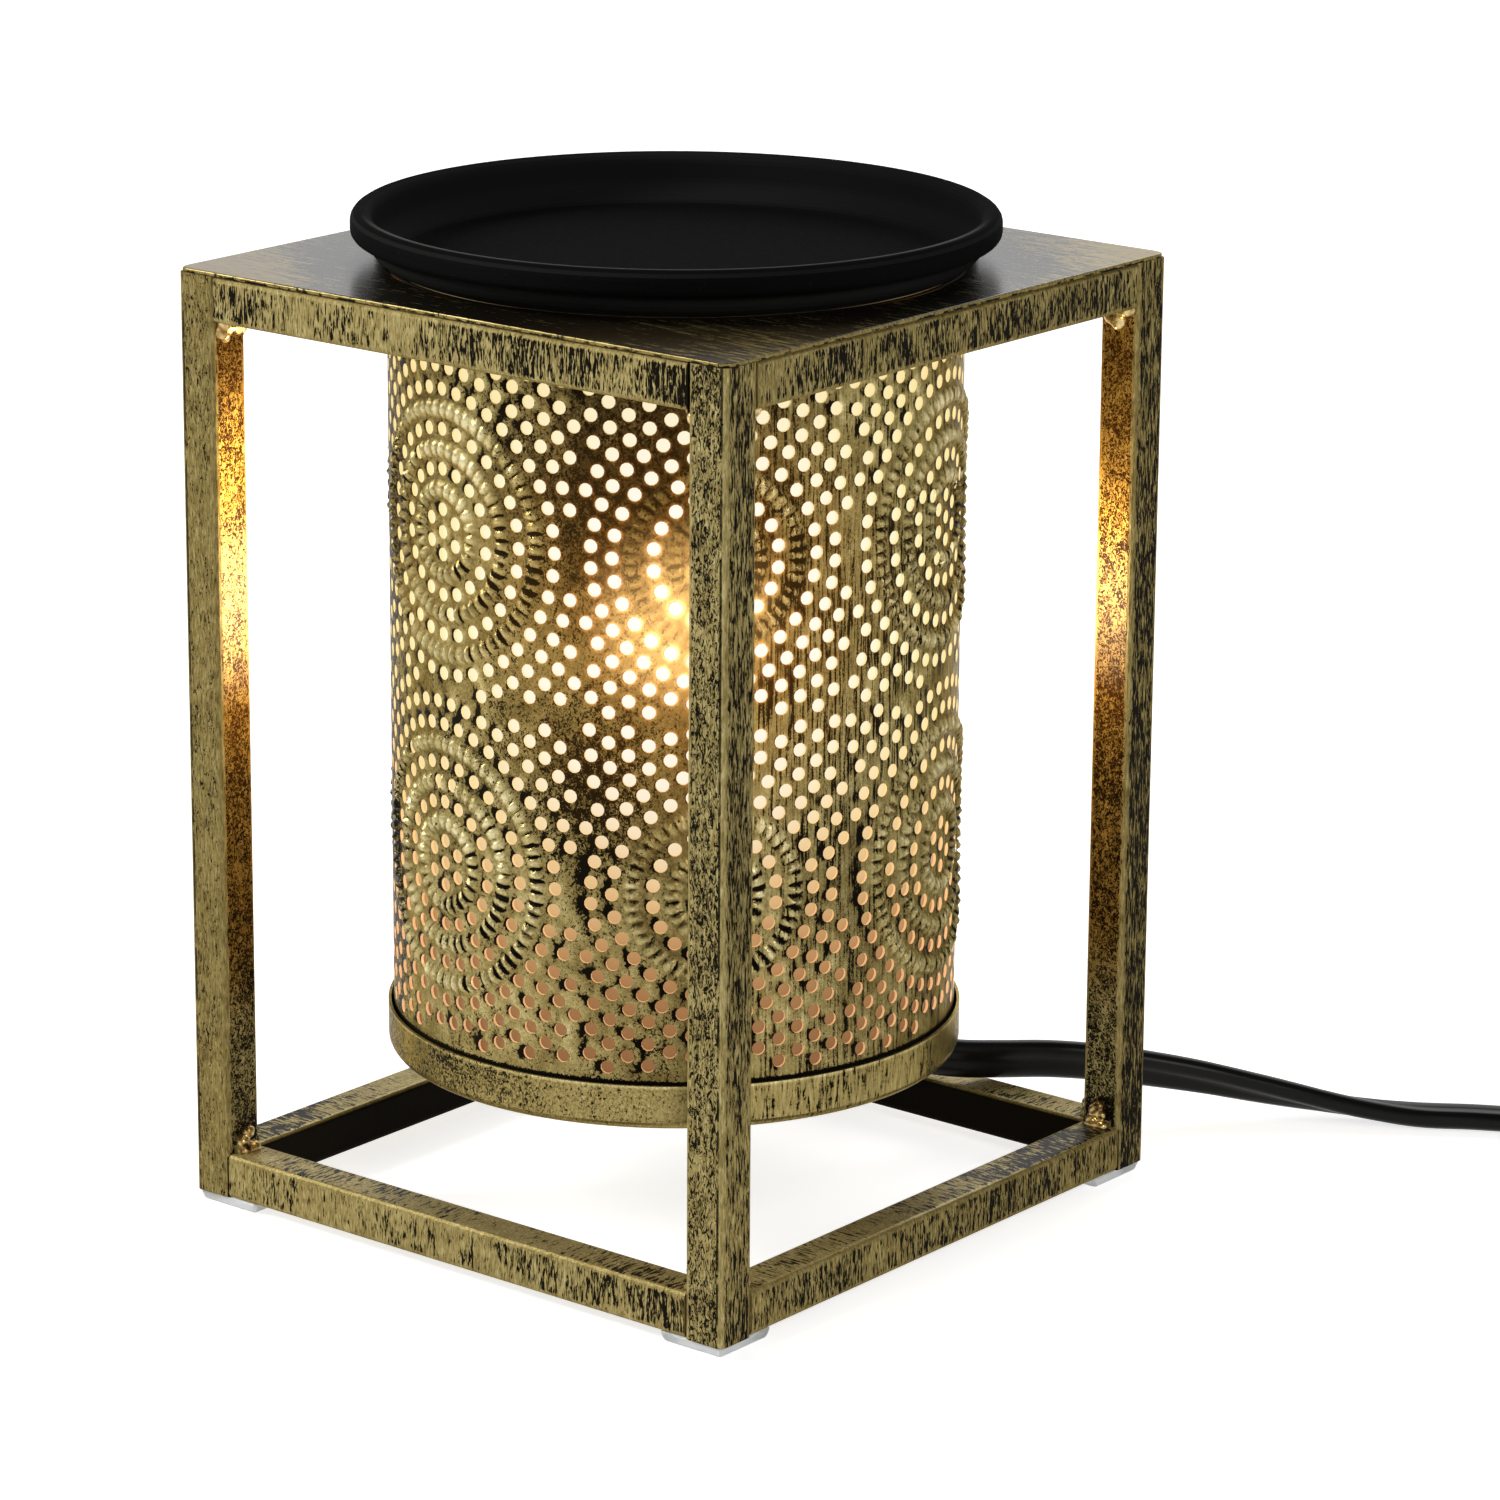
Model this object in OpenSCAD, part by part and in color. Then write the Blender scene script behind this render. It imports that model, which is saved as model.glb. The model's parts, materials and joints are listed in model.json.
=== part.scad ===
// Electric wax warmer: a lantern of square tube with a punched shade, a reflector lamp
// under a lift-off wax dish, and a flat twin cord with an inline switch and a plug.
// Millimetres. X and Y run along the frame's sides, Z is up, and the floor is Z = 0.

/* [Frame] */
// Width and depth over the square frame
frame_w = 120; // [112:1:150]
// Height from the underside of the posts to the top of the plate
frame_h = 166; // [150:1:200]
// Side of the square tube
tube = 8; // [6:0.5:9]
// Wall of the square tube
tube_wall = 0.8; // [0.5:0.1:1.5]
// Corner radius of the square tube
tube_r = 1; // [0.5:0.1:1.4]
// Radius of the weld beads in the corners
bead_r = 1.4; // [0.8:0.1:2]
// Length of the weld beads across a tube
bead_l = 5; // [3:0.5:5.5]

/* [Top plate] */
// Thickness of the top plate
plate_t = 0.8; // [0.6:0.1:1.5]
// Corner radius of the top plate
plate_corner_r = 2; // [0.5:0.5:4]

/* [Feet] */
// Side of a foot pad
foot_w = 13.5; // [10:0.5:18]
// Height of a foot pad
foot_h = 2; // [1:0.5:5]
// How much the pad's sides lean in towards the floor
foot_draft = 0.6; // [0:0.1:1]
// How far the pads stand in from the frame's outer faces
foot_inset = 0.3; // [0:0.1:2]

/* [Shade] */
// Gap between the shade and the frame's rails
shade_gap = 2.4; // [1.6:0.1:6]
// Thickness of the shade's sheet
shade_t = 0.5; // [0.3:0.1:1]
// Gap between the shade and the hole in the plate
shade_clear = 0.3; // [0.1:0.1:0.6]
// Flat panels that the sheet is rolled in
shade_panels = 60; // [48:12:84]
// Diameter of a punched hole
hole_d = 2.4; // [1.5:0.1:3]
// Rosettes round the shade
rosette_columns = 6; // [4:1:6]
// Direction of the first column of rosettes, in degrees from +X
rosette_turn = -102.4; // [-180:0.1:180]
// Height between the two rows of rosettes
rosette_rise = 58; // [50:1:70]
// Radii of a rosette's rings of holes
ring_radii = [3.9, 10.8, 17.7];
// Holes in each of those rings
ring_holes = [6, 18, 28];

/* [Diffuser] */
// Thickness of the translucent liner
liner_t = 0.4; // [0.2:0.1:0.8]
// Gap between the shade and the liner
liner_clear = 0.2; // [0.1:0.1:0.5]

/* [Base cup] */
// Thickness of the cup's sheet
cup_t = 0.5; // [0.4:0.1:1]
// Gap between the shade and the cup's wall
cup_clear = 0.4; // [0.2:0.1:0.8]
// Height of the cup
cup_h = 8; // [8:0.5:14]
// Outer radius of the cup's bottom edge
cup_edge_r = 2; // [1.5:0.1:3]
// Free height between the bottom rails and the cup
cup_gap = 18; // [16:0.5:26]
// Distance of the clips' screws from the shade
clip_in = 9.6; // [8.5:0.1:13]
// Thickness of the shade clips
clip_t = 1; // [0.6:0.1:1.5]
// Angle that a clip spans
clip_span = 12; // [8:1:16]

/* [Wax dish] */
// How far the dish's wall stands out over the hole in the plate
dish_step = 3; // [2.6:0.1:4]
// Overall height of the dish
dish_h = 9.6; // [9:0.1:16]
// Thickness of the dish's metal
dish_t = 1; // [0.6:0.1:1.2]
// Height of the rolled rim
rim_h = 4.6; // [4:0.1:5]
// How far the rolled rim stands out from the wall
rim_out = 2.75; // [2.5:0.05:4]
// How deep the dish sinks into the hole of the plate
dish_sink = 0.6; // [0.3:0.1:1]
// Gap between the dish and the edge that it sits in
dish_clear = 0.3; // [0.1:0.1:0.6]

/* [Lamp] */
// Diameter of the reflector lamp
bulb_d = 50; // [35:1:50]
// Length of the lamp above its seat
bulb_l = 54; // [50:1:60]
// Thickness of the lamp's glass
bulb_t = 1; // [0.8:0.1:1.5]
// Diameter of the lamp's ceramic base
bulb_base_d = 22; // [20:0.5:24]
// Distance of each lamp pin from the axis
pin_at = 5; // [4.5:0.1:5.5]
// Diameter of a lamp pin's neck
pin_neck_d = 3; // [2.5:0.1:3.4]
// Diameter of a lamp pin's head
pin_head_d = 5; // [4.5:0.1:5]
// Clearance round the pins in the holder
pin_clear = 0.4; // [0.3:0.05:0.6]
// Turn of the lamp between locked and free
twist = 20; // [15:1:25]
// Diameter of the ceramic lamp holder
holder_d = 27; // [26.5:0.5:30]
// Height of the ceramic lamp holder
holder_h = 22; // [18:0.5:26]
// Height of the bracket that carries the holder
bracket_h = 20; // [16:0.5:26]
// Width of the bracket's strip
bracket_w = 16; // [15:0.5:18]
// Thickness of the bracket's strip
bracket_t = 1; // [0.8:0.1:1.5]
// Distance from the middle to the outside of the bracket's legs
bracket_half = 17; // [16:0.5:18]
// Length of the bracket's feet
bracket_foot = 10; // [8:0.5:12]

/* [Fasteners] */
// Shank diameter of the machine screws
screw_d = 3; // [2.5:0.5:3]
// Clearance on the diameter of a screw hole
screw_clear = 0.4; // [0.2:0.1:0.5]
// Head diameter of the machine screws
screw_head_d = 5.5; // [5:0.1:5.6]
// Head height of the machine screws
screw_head_h = 1.8; // [1.5:0.1:2]
// Width across the flats of the nuts
nut_af = 5.5; // [5.5:0.1:6.5]
// Thickness of the nuts
nut_t = 2.4; // [2:0.1:2.5]

/* [Cord] */
// Width of the flat twin cord
cord_w = 7.2; // [7.2:0.1:7.2]
// Thickness of the flat twin cord
cord_t = 3.6; // [3.4:0.1:3.6]
// Length of the tapered boot where the cord leaves
boot_l = 24; // [20:1:24]
// Radius of the boot's tip
boot_tip_r = 4.6; // [4.2:0.1:5]
// Radius of the boot's root
boot_root_r = 5.5; // [5:0.1:5.6]
// Radius of the gland's body
gland_r = 7.5; // [7:0.1:8]
// Radius of the gland's threaded neck
gland_neck_r = 5; // [4.5:0.1:5.5]
// Diameter of the two lamp wires
wire_d = 2.4; // [2:0.1:2.6]
// Distance of each lamp wire from the middle of the gland
wire_at = 1.8; // [1.6:0.1:2]

/* [Coil and tie] */
// Radius of the coil's outermost turn at the middle of the cord
coil_r = 42; // [40:0.5:46]
// Distance from one turn to the next
coil_pitch = 4.3; // [4.1:0.1:4.8]
// Steps of the coil, with 24 to a turn
coil_steps = 127; // [103:24:127]
// Thickness of the tie's band
tie_t = 0.6; // [0.4:0.1:0.8]
// Width of the tie's band
tie_w = 4; // [3:0.5:8]
// Clearance between the tie and the cord
tie_clear = 0.3; // [0.2:0.1:0.5]

/* [Inline switch] */
// Length of the switch
switch_l = 52; // [50:1:56]
// Width of the switch
switch_w = 22; // [20:0.5:24]
// Height of the switch
switch_h = 15; // [14:0.5:18]
// Wall of the switch's shells
switch_wall = 1.6; // [1.2:0.1:2]
// Length of the rocker
rocker_l = 15; // [12:0.5:16]
// Width of the rocker
rocker_w = 9.6; // [8:0.1:10]
// Tilt of the rocker to each side
rocker_tilt = 9; // [6:0.5:10]
// Clearance round the rocker in its window
rocker_clear = 0.6; // [0.5:0.05:0.8]
// Diameter of the rocker's pivot pins
pivot_d = 2.4; // [2:0.1:2.8]
// Running clearance round the pivot pins, on the radius
pivot_clear = 0.08; // [0.05:0.01:0.1]

/* [Plug] */
// Length of the plug's body
plug_l = 36; // [32:1:40]
// Width of the plug's body
plug_w = 25; // [22:0.5:27]
// Thickness of the plug's body
plug_t = 13; // [11:0.5:15]
// Length of the blades outside the body
blade_l = 17; // [15:0.5:18]
// Thickness of a blade
blade_t = 1.5; // [1.4:0.1:1.6]
// Distance between the middles of the blades
blade_span = 12.7; // [12.5:0.1:12.9]
// Widths of the two blades
blade_widths = [6.4, 7.9];
// Diameter of the hole in each blade
blade_hole_d = 3.2; // [2.5:0.1:3.5]

/* [Hidden] */
$fn = 96;

GOLD = [0.60, 0.55, 0.34];
BLACK = [0.06, 0.06, 0.06];
STEEL = [0.72, 0.72, 0.72];
BRASS = [0.80, 0.66, 0.35];
CERAMIC = [0.93, 0.91, 0.86];

// Heights of the frame
floor_z = foot_h;
top_z = foot_h + frame_h;
plate_z = top_z - plate_t;
post_at = (frame_w - tube) / 2;
rail_l = frame_w - 2 * tube;
rail_z = [floor_z + tube / 2, plate_z - tube / 2];

// Heights and radii of the cup, the shade and the liner
shade_r = frame_w / 2 - tube - shade_gap;
cup_z = floor_z + tube + cup_gap;
cup_in_z = cup_z + cup_t;
cup_top_z = cup_z + cup_h;
cup_in_r = shade_r + cup_clear;
cup_r = cup_in_r + cup_t;
hole_r = shade_r + shade_clear;
dish_r = hole_r + dish_step;
clip_at = shade_r - clip_in;
shade_in_r = shade_r - shade_t;
shade_z = cup_in_z + clip_t;
panel_angle = 360 / shade_panels;
shade_flat_r = shade_in_r * cos(panel_angle / 2);
liner_r = shade_flat_r - liner_clear;
liner_in_r = liner_r - liner_t;
clip_top_z = cup_top_z - clip_t / 2;
liner_z = clip_top_z + 0.1;
rosette_mid_z = (shade_z + top_z) / 2;
clip_turns = [30, 150, 270];

// The dish's base radius follows from the edge that it sits in: its side is a quarter of an ellipse
dish_z = top_z - dish_sink;
side_h = dish_h - rim_h;
seat_r = shade_in_r - dish_clear;
sink_share = sqrt(1 - pow(1 - dish_sink / side_h, 2));
dish_base_r = (seat_r - sink_share * dish_r) / (1 - sink_share);

// Heights of the lamp and its holder
bridge_z = cup_in_z + bracket_h;
holder_top_z = bridge_z + holder_h;
seat_gap = 0.3;
bulb_z = holder_top_z + seat_gap;
bulb_r = bulb_d / 2;
bulb_neck_r = bulb_base_d / 2 + 2.5;
bulb_base_h = 20;
lens_h = 1.5;
lens_z = bulb_z + bulb_l - 3;
bulb_rim_h = 4;
pin_neck_h = 4.5;
pin_head_h = 2.5;
slot_skin = 3;
slot_depth = pin_neck_h + pin_head_h + 1.5;
holder_screw_at = 10;
foot_screw_at = bracket_half + bracket_foot / 2;
wire_hole_r = wire_at + wire_d / 2 + 1;

// The cord's route from the boot to the switch: x, y, z of its middle, and how far it is
// rolled over, from 0 on edge to 90 flat
run_route = [
  [12, 35.5, 18.6, 0], [15.5, 41.5, 17.9, 0], [19, 47.5, 16.3, 0], [23, 54, 14.6, 0],
  [27.2, 61, 13.6, 2], [32, 69, 12.6, 5], [38, 76.5, 11.3, 10], [44.5, 83.5, 9.6, 18],
  [52, 90.5, 7.7, 28], [60, 96.5, 5.8, 42], [68, 102, 4.1, 58], [76.5, 107, 2.8, 75],
  [85, 112, 2.1, 88], [93, 117.5, 2, 90], [100, 121.6, 2, 90], [107, 124.8, 2.5, 90],
  [114.5, 127, 3.6, 90], [122, 128, 4.8, 90], [129.5, 127.9, 5.5, 90], [137, 127, 5.5, 90]
];

// The switch lies on the floor in line with the end of that route
run_end = run_route[len(run_route) - 1];
run_before = run_route[len(run_route) - 2];
switch_turn = atan2(run_end[1] - run_before[1], run_end[0] - run_before[0]);
switch_way = [cos(switch_turn), sin(switch_turn), 0];
switch_in = [run_end[0], run_end[1], 0];
switch_entry_z = run_end[2];
switch_out = switch_in + switch_l * switch_way;

// The coil is wound clockwise on edge, spirals in on the floor and out again one layer up
coil_start = 90 + switch_turn;
lead_l = 34;
coil_lift = tie_t + tie_clear;
layer_gap = 0.6;
coil_z = [coil_lift + cord_w / 2, coil_lift + cord_w * 1.5 + layer_gap];
coil_half = coil_steps / 2;
climb = 5;
tuck = 2.4;
tuck_span = 9;
coil_in_r = coil_r - coil_pitch * coil_half / 24;
coil_first = switch_out + lead_l * switch_way;
coil_mid = coil_first - coil_r * [cos(coil_start), sin(coil_start), 0];
coil_end_turn = coil_start - 15 * coil_steps;
tail_way = [sin(coil_end_turn), -cos(coil_end_turn), 0];
coil_last = coil_mid + coil_r * [cos(coil_end_turn), sin(coil_end_turn), 0];

lead_start = switch_out + [0, 0, switch_entry_z];
lead_end = coil_first - cord_w * switch_way + [0, 0, coil_z[0]];
lead_part = (lead_l - cord_w) / 5 * switch_way;
lead_drop = [0, 0, coil_z[0] - switch_entry_z];
lead_route = [
  [each lead_start, 90], [each (lead_start + lead_part), 82],
  [each (lead_start + 2 * lead_part + 0.3 * lead_drop), 62],
  [each (lead_end - 2 * lead_part - 0.3 * lead_drop), 28],
  [each (lead_end - lead_part), 8], [each lead_end, 0]
];

// The tail drops from the coil's upper layer to the plug on the floor
tail_l = 45;
tail_start = coil_last + cord_w * tail_way + [0, 0, coil_z[1]];
plug_in = tail_start + tail_l * tail_way + [0, 0, plug_t / 2 - coil_z[1]];
tail_part = tail_l / 6 * tail_way;
tail_drop = [0, 0, plug_t / 2 - coil_z[1]];
tail_route = [
  [each tail_start, 0], [each (tail_start + tail_part), 6],
  [each (tail_start + 2 * tail_part + 0.2 * tail_drop), 24],
  [each (tail_start + 3 * tail_part + 0.5 * tail_drop), 45],
  [each (plug_in - 2 * tail_part - 0.2 * tail_drop), 66],
  [each (plug_in - tail_part), 84], [each plug_in, 90]
];
plug_turn = coil_end_turn - 90;

function unit(v) = v / norm(v);
function spot(p) = [p[0], p[1], p[2]];
function arc(c, r, from, to, steps) =
  [for (i = [0 : steps]) let (a = from + (to - from) * i / steps) [c[0] + r * cos(a), c[1] + r * sin(a)]];

// A rounded rectangle about the origin
function rounded(w, d, r, steps = 3) = concat(
  arc([w / 2 - r, d / 2 - r], r, 0, 90, steps), arc([r - w / 2, d / 2 - r], r, 90, 180, steps),
  arc([r - w / 2, r - d / 2], r, 180, 270, steps), arc([w / 2 - r, r - d / 2], r, 270, 360, steps)
);

// The outline of a bent sheet of thickness t whose middle follows a path
function side_of(path, i) =
  let (
    a = path[max(i - 1, 0)], b = path[i], c = path[min(i + 1, len(path) - 1)],
    u = i > 0 ? unit(b - a) : unit(c - b),
    v = i < len(path) - 1 ? unit(c - b) : unit(b - a),
    m = unit(u + v)
  ) [-m[1], m[0]] / (m * u);
function sheet(path, t) = concat(
  [for (i = [0 : len(path) - 1]) path[i] + side_of(path, i) * t / 2],
  [for (i = [len(path) - 1 : -1 : 0]) path[i] - side_of(path, i) * t / 2]
);

// Outline of the flat twin cord, two round cores side by side: first across, then along its width
function twin_outline() =
  let (r = cord_t / 2, c = cord_w / 2 - r, waist = r - 0.5)
  concat(
    [for (a = [18 : 48 : 162]) [r * cos(a), c + r * sin(a)]], [[-waist, 0]],
    [for (a = [198 : 48 : 342]) [r * cos(a), -c + r * sin(a)]], [[waist, 0]]
  );
// The same cord with six sides, for the coil
function six_outline() =
  let (r = cord_t / 2, h = cord_w / 2)
  [[r, -h / 2], [r, h / 2], [0, h], [-r, h / 2], [-r, -h / 2], [0, -h]];

// A tube through the points of a route: an outline stands square to the route at each point
function heading(route, i) =
  unit(spot(route[min(i + 1, len(route) - 1)]) - spot(route[max(i - 1, 0)]));
function ring(route, i, outline, above) =
  let (
    t = heading(route, i),
    up = unit(above - (above * t) * t),
    side = cross(t, up),
    wide = cos(route[i][3]) * up + sin(route[i][3]) * side,
    thin = cross(wide, t)
  ) [for (q = outline) spot(route[i]) + q[0] * thin + q[1] * wide];
module swept(route, outline, above = [0, 0, 1]) {
  n = len(outline);
  last = len(route) - 1;
  polyhedron(
    points = [for (i = [0 : last]) each ring(route, i, outline, above)],
    faces = concat(
      [[for (k = [0 : n - 1]) n - 1 - k]],
      [[for (k = [0 : n - 1]) last * n + k]],
      [for (i = [0 : last - 1], k = [0 : n - 1]) each [
        [i * n + k, i * n + (k + 1) % n, (i + 1) * n + (k + 1) % n],
        [i * n + k, (i + 1) * n + (k + 1) % n, (i + 1) * n + k]
      ]]
    ),
    convexity = 10
  );
}

// Radius, height and place of the coil's middle at step i
function coil_radius(i) =
  let (u = abs(i - coil_half))
  coil_in_r + coil_pitch * u / 24 - (u < tuck_span ? tuck * (1 + cos(180 * u / tuck_span)) / 2 : 0);
function coil_rise(i) =
  let (s = min(max((i - coil_half + climb) / (2 * climb), 0), 1))
  coil_z[0] + (coil_z[1] - coil_z[0]) * s * s * (3 - 2 * s);
function coil_point(i) =
  let (a = coil_start - 15 * i)
  [coil_mid[0] + coil_radius(i) * cos(a), coil_mid[1] + coil_radius(i) * sin(a), coil_rise(i), 0];
coil_route = concat(
  [[each lead_end, 0]],
  [for (i = [0 : coil_steps]) coil_point(i)],
  [[each tail_start, 0]]
);
function route_length(r) =
  let (d = [for (i = [1 : len(r) - 1]) norm(spot(r[i]) - spot(r[i - 1]))]) d * [for (x = d) 1];
coil_gap = min([
  for (i = [0 : coil_steps - 18], j = [i + 18 : coil_steps])
    if ((j - i) % 24 <= 1 || (j - i) % 24 >= 23)
      max(
        abs(coil_radius(i) - coil_radius(j)) - cord_t,
        abs(coil_rise(i) - coil_rise(j)) - cord_w
      )
]);
echo(coil_least_gap = coil_gap);
echo(cord_length = route_length(run_route) + switch_l + route_length(lead_route)
  + route_length(coil_route) + route_length(tail_route));

// Frame
module square_tube(length) {
  linear_extrude(length) difference() {
    polygon(rounded(tube, tube, tube_r));
    polygon(rounded(tube - 2 * tube_wall, tube - 2 * tube_wall, max(tube_r - tube_wall, 0.2)));
  }
}
module post(x, y) {
  color(GOLD) translate([x * post_at, y * post_at, floor_z]) square_tube(plate_z - floor_z);
}
module rail(quarter, z) {
  color(GOLD) rotate([0, 0, 90 * quarter]) translate([-rail_l / 2, -post_at, z])
    rotate([0, 90, 0]) square_tube(rail_l);
}
// A quarter-round bead in the corner between a post and a rail's open side
module bead(quarter, side, level) {
  up = level == 0 ? 1 : -1;
  corner_z = rail_z[level] + up * tube / 2;
  rotate([0, 0, 90 * quarter]) translate([side * rail_l / 2, -post_at, corner_z]) intersection() {
    rotate([90, 0, 0]) cylinder(r = bead_r, h = bead_l, center = true, $fn = 24);
    translate([side > 0 ? -bead_r : 0, -bead_l / 2, up > 0 ? 0 : -bead_r]) cube([bead_r, bead_l, bead_r]);
  }
}
module weld_beads() {
  color(GOLD) {
    for (quarter = [0 : 3], side = [-1, 1], level = [0, 1]) bead(quarter, side, level);
    for (quarter = [0 : 3]) rotate([0, 0, 90 * quarter + 41]) rotate_extrude(angle = 8)
      polygon([[shade_r, plate_z], [shade_r, plate_z - bead_r], [shade_r + bead_r, plate_z]]);
  }
}
module top_plate() {
  color(GOLD) difference() {
    translate([0, 0, plate_z]) linear_extrude(plate_t)
      polygon(rounded(frame_w, frame_w, plate_corner_r, 4));
    translate([0, 0, plate_z - 1]) cylinder(r = hole_r, h = plate_t + 2);
  }
}
module foot(x, y) {
  at = frame_w / 2 - foot_inset - foot_w / 2;
  wide = foot_w / 2;
  low = foot_w / 2 - foot_draft;
  side = [[-low, 0], [low, 0], [wide, foot_h], [-wide, foot_h]];
  color([0.85, 0.87, 0.88]) translate([x * at, y * at, 0]) intersection() {
    rotate([90, 0, 0]) linear_extrude(foot_w, center = true) polygon(side);
    rotate([90, 0, 90]) linear_extrude(foot_w, center = true) polygon(side);
  }
}

// Dish: one sheet from the middle of the floor out to the lip of the rolled rim
module wax_dish() {
  base = dish_base_r;
  wide = dish_r - dish_t / 2 - base;
  high = side_h - dish_t / 2;
  rim_r = rim_out / 2;
  wall_r = dish_r - dish_t / 2;
  path = concat(
    [[0, dish_t / 2]],
    [for (i = [0 : 8]) [base + wide * sin(i * 11.25), dish_t / 2 + high * (1 - cos(i * 11.25))]],
    arc([wall_r + rim_r, dish_h - dish_t / 2 - rim_r], rim_r, 180, 0, 8),
    arc([wall_r + rim_out - 0.9, side_h + 1.4], 0.9, 0, -90, 4),
    [[wall_r + 1.4, side_h + dish_t / 2]]
  );
  color(BLACK) translate([0, 0, dish_z]) rotate_extrude($fn = 120) polygon(sheet(path, dish_t));
}

// Shade: a rolled sheet, punched with rosettes of holes
function shade_outline(r) =
  [for (i = [0 : shade_panels - 1]) let (a = panel_angle * (i + 0.5)) [r * cos(a), r * sin(a)]];
module punch(along, z) {
  rotate([0, 0, along * 180 / PI / shade_r]) translate([shade_in_r - 2, 0, z])
    rotate([0, 90, 0]) cylinder(d = hole_d, h = shade_t + 4, $fn = 16);
}
module rosette() {
  punch(0, 0);
  for (k = [0 : len(ring_radii) - 1], i = [0 : ring_holes[k] - 1]) {
    a = 360 * (i + (k < 2 ? 0.5 : 0)) / ring_holes[k];
    punch(ring_radii[k] * cos(a), ring_radii[k] * sin(a));
  }
}
module shade() {
  color(GOLD) difference() {
    translate([0, 0, shade_z]) linear_extrude(top_z - shade_z) difference() {
      polygon(shade_outline(shade_r));
      polygon(shade_outline(shade_in_r));
    }
    for (column = [0 : rosette_columns - 1], row = [-0.5, 0.5])
      rotate([0, 0, rosette_turn + column * 360 / rosette_columns])
        translate([0, 0, rosette_mid_z + row * rosette_rise]) rosette();
  }
}
module diffuser_liner() {
  color([0.98, 0.90, 0.72]) translate([0, 0, liner_z]) difference() {
    cylinder(r = liner_r, h = plate_z - liner_z);
    translate([0, 0, -1]) cylinder(r = liner_in_r, h = plate_z - liner_z + 2);
  }
}

// Cup and what is screwed to its floor
module at_clips() {
  for (a = clip_turns) rotate([0, 0, a]) translate([clip_at, 0, 0]) children();
}
module at_bracket_feet() {
  for (side = [-1, 1]) translate([side * foot_screw_at, 0, 0]) children();
}
module screw_hole(z, h) {
  translate([0, 0, z - 1]) cylinder(d = screw_d + screw_clear, h = h + 2, $fn = 32);
}
module base_cup() {
  mid_r = cup_edge_r - cup_t / 2;
  wall_mid_r = cup_r - cup_t / 2;
  path = concat(
    [[0, cup_t / 2]],
    arc([wall_mid_r - mid_r, cup_edge_r], mid_r, -90, 0, 6),
    [[wall_mid_r, cup_h]]
  );
  color(GOLD) difference() {
    translate([0, 0, cup_z]) rotate_extrude($fn = 120) polygon(sheet(path, cup_t));
    at_clips() screw_hole(cup_z, cup_t);
    at_bracket_feet() screw_hole(cup_z, cup_t);
    translate([each gland_at, cup_z - 1]) cylinder(r = gland_neck_r + screw_clear / 2, h = cup_t + 2);
  }
}
module shade_clips() {
  leg_r = shade_flat_r - 0.1;
  color(STEEL) difference() {
    for (a = clip_turns) rotate([0, 0, a - clip_span / 2]) rotate_extrude(angle = clip_span)
      polygon([
        [clip_at - 4, cup_in_z], [leg_r, cup_in_z], [leg_r, clip_top_z],
        [leg_r - clip_t, clip_top_z], [leg_r - clip_t, cup_in_z + clip_t], [clip_at - 4, cup_in_z + clip_t]
      ]);
    at_clips() screw_hole(cup_in_z, clip_t);
  }
}
// A pan-head screw whose head hangs under a face at z and whose shank reaches up by length
module screw_up(z, length) {
  translate([0, 0, z - screw_head_h]) difference() {
    cylinder(d = screw_head_d, h = screw_head_h, $fn = 32);
    translate([-screw_head_d / 4, -0.4, -1]) cube([screw_head_d / 2, 0.8, 1.8]);
    translate([-0.4, -screw_head_d / 4, -1]) cube([0.8, screw_head_d / 2, 1.8]);
  }
  translate([0, 0, z]) cylinder(d = screw_d, h = length, $fn = 32);
}
module nut(z) {
  translate([0, 0, z]) difference() {
    cylinder(d = nut_af / cos(30), h = nut_t, $fn = 6);
    translate([0, 0, -1]) cylinder(d = screw_d + 0.06, h = nut_t + 2, $fn = 32);
  }
}
module floor_screws() {
  color(STEEL) {
    at_clips() screw_up(cup_z, cup_t + clip_t + nut_t + 0.6);
    at_bracket_feet() screw_up(cup_z, cup_t + bracket_t + nut_t + 0.6);
  }
}
module floor_nuts() {
  color(STEEL) {
    at_clips() nut(cup_in_z + clip_t);
    at_bracket_feet() nut(cup_in_z + bracket_t);
  }
}

// Lamp holder on its bracket
module lamp_bracket() {
  s = bracket_half;
  f = bracket_foot;
  t = bracket_t;
  h = bracket_h;
  color(STEEL) difference() {
    translate([0, 0, cup_in_z]) rotate([90, 0, 0]) linear_extrude(bracket_w, center = true) polygon([
      [-s - f, 0], [t - s, 0], [t - s, h - t], [s - t, h - t], [s - t, 0], [s + f, 0],
      [s + f, t], [s, t], [s, h], [-s, h], [-s, t], [-s - f, t]
    ]);
    at_bracket_feet() screw_hole(cup_in_z, t);
    at_holder_screws() screw_hole(bridge_z - t, t);
    translate([0, 0, bridge_z - t - 1]) cylinder(r = wire_hole_r, h = t + 2);
  }
}
module at_holder_screws() {
  for (side = [-1, 1]) translate([side * holder_screw_at, 0, 0]) children();
}
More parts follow.
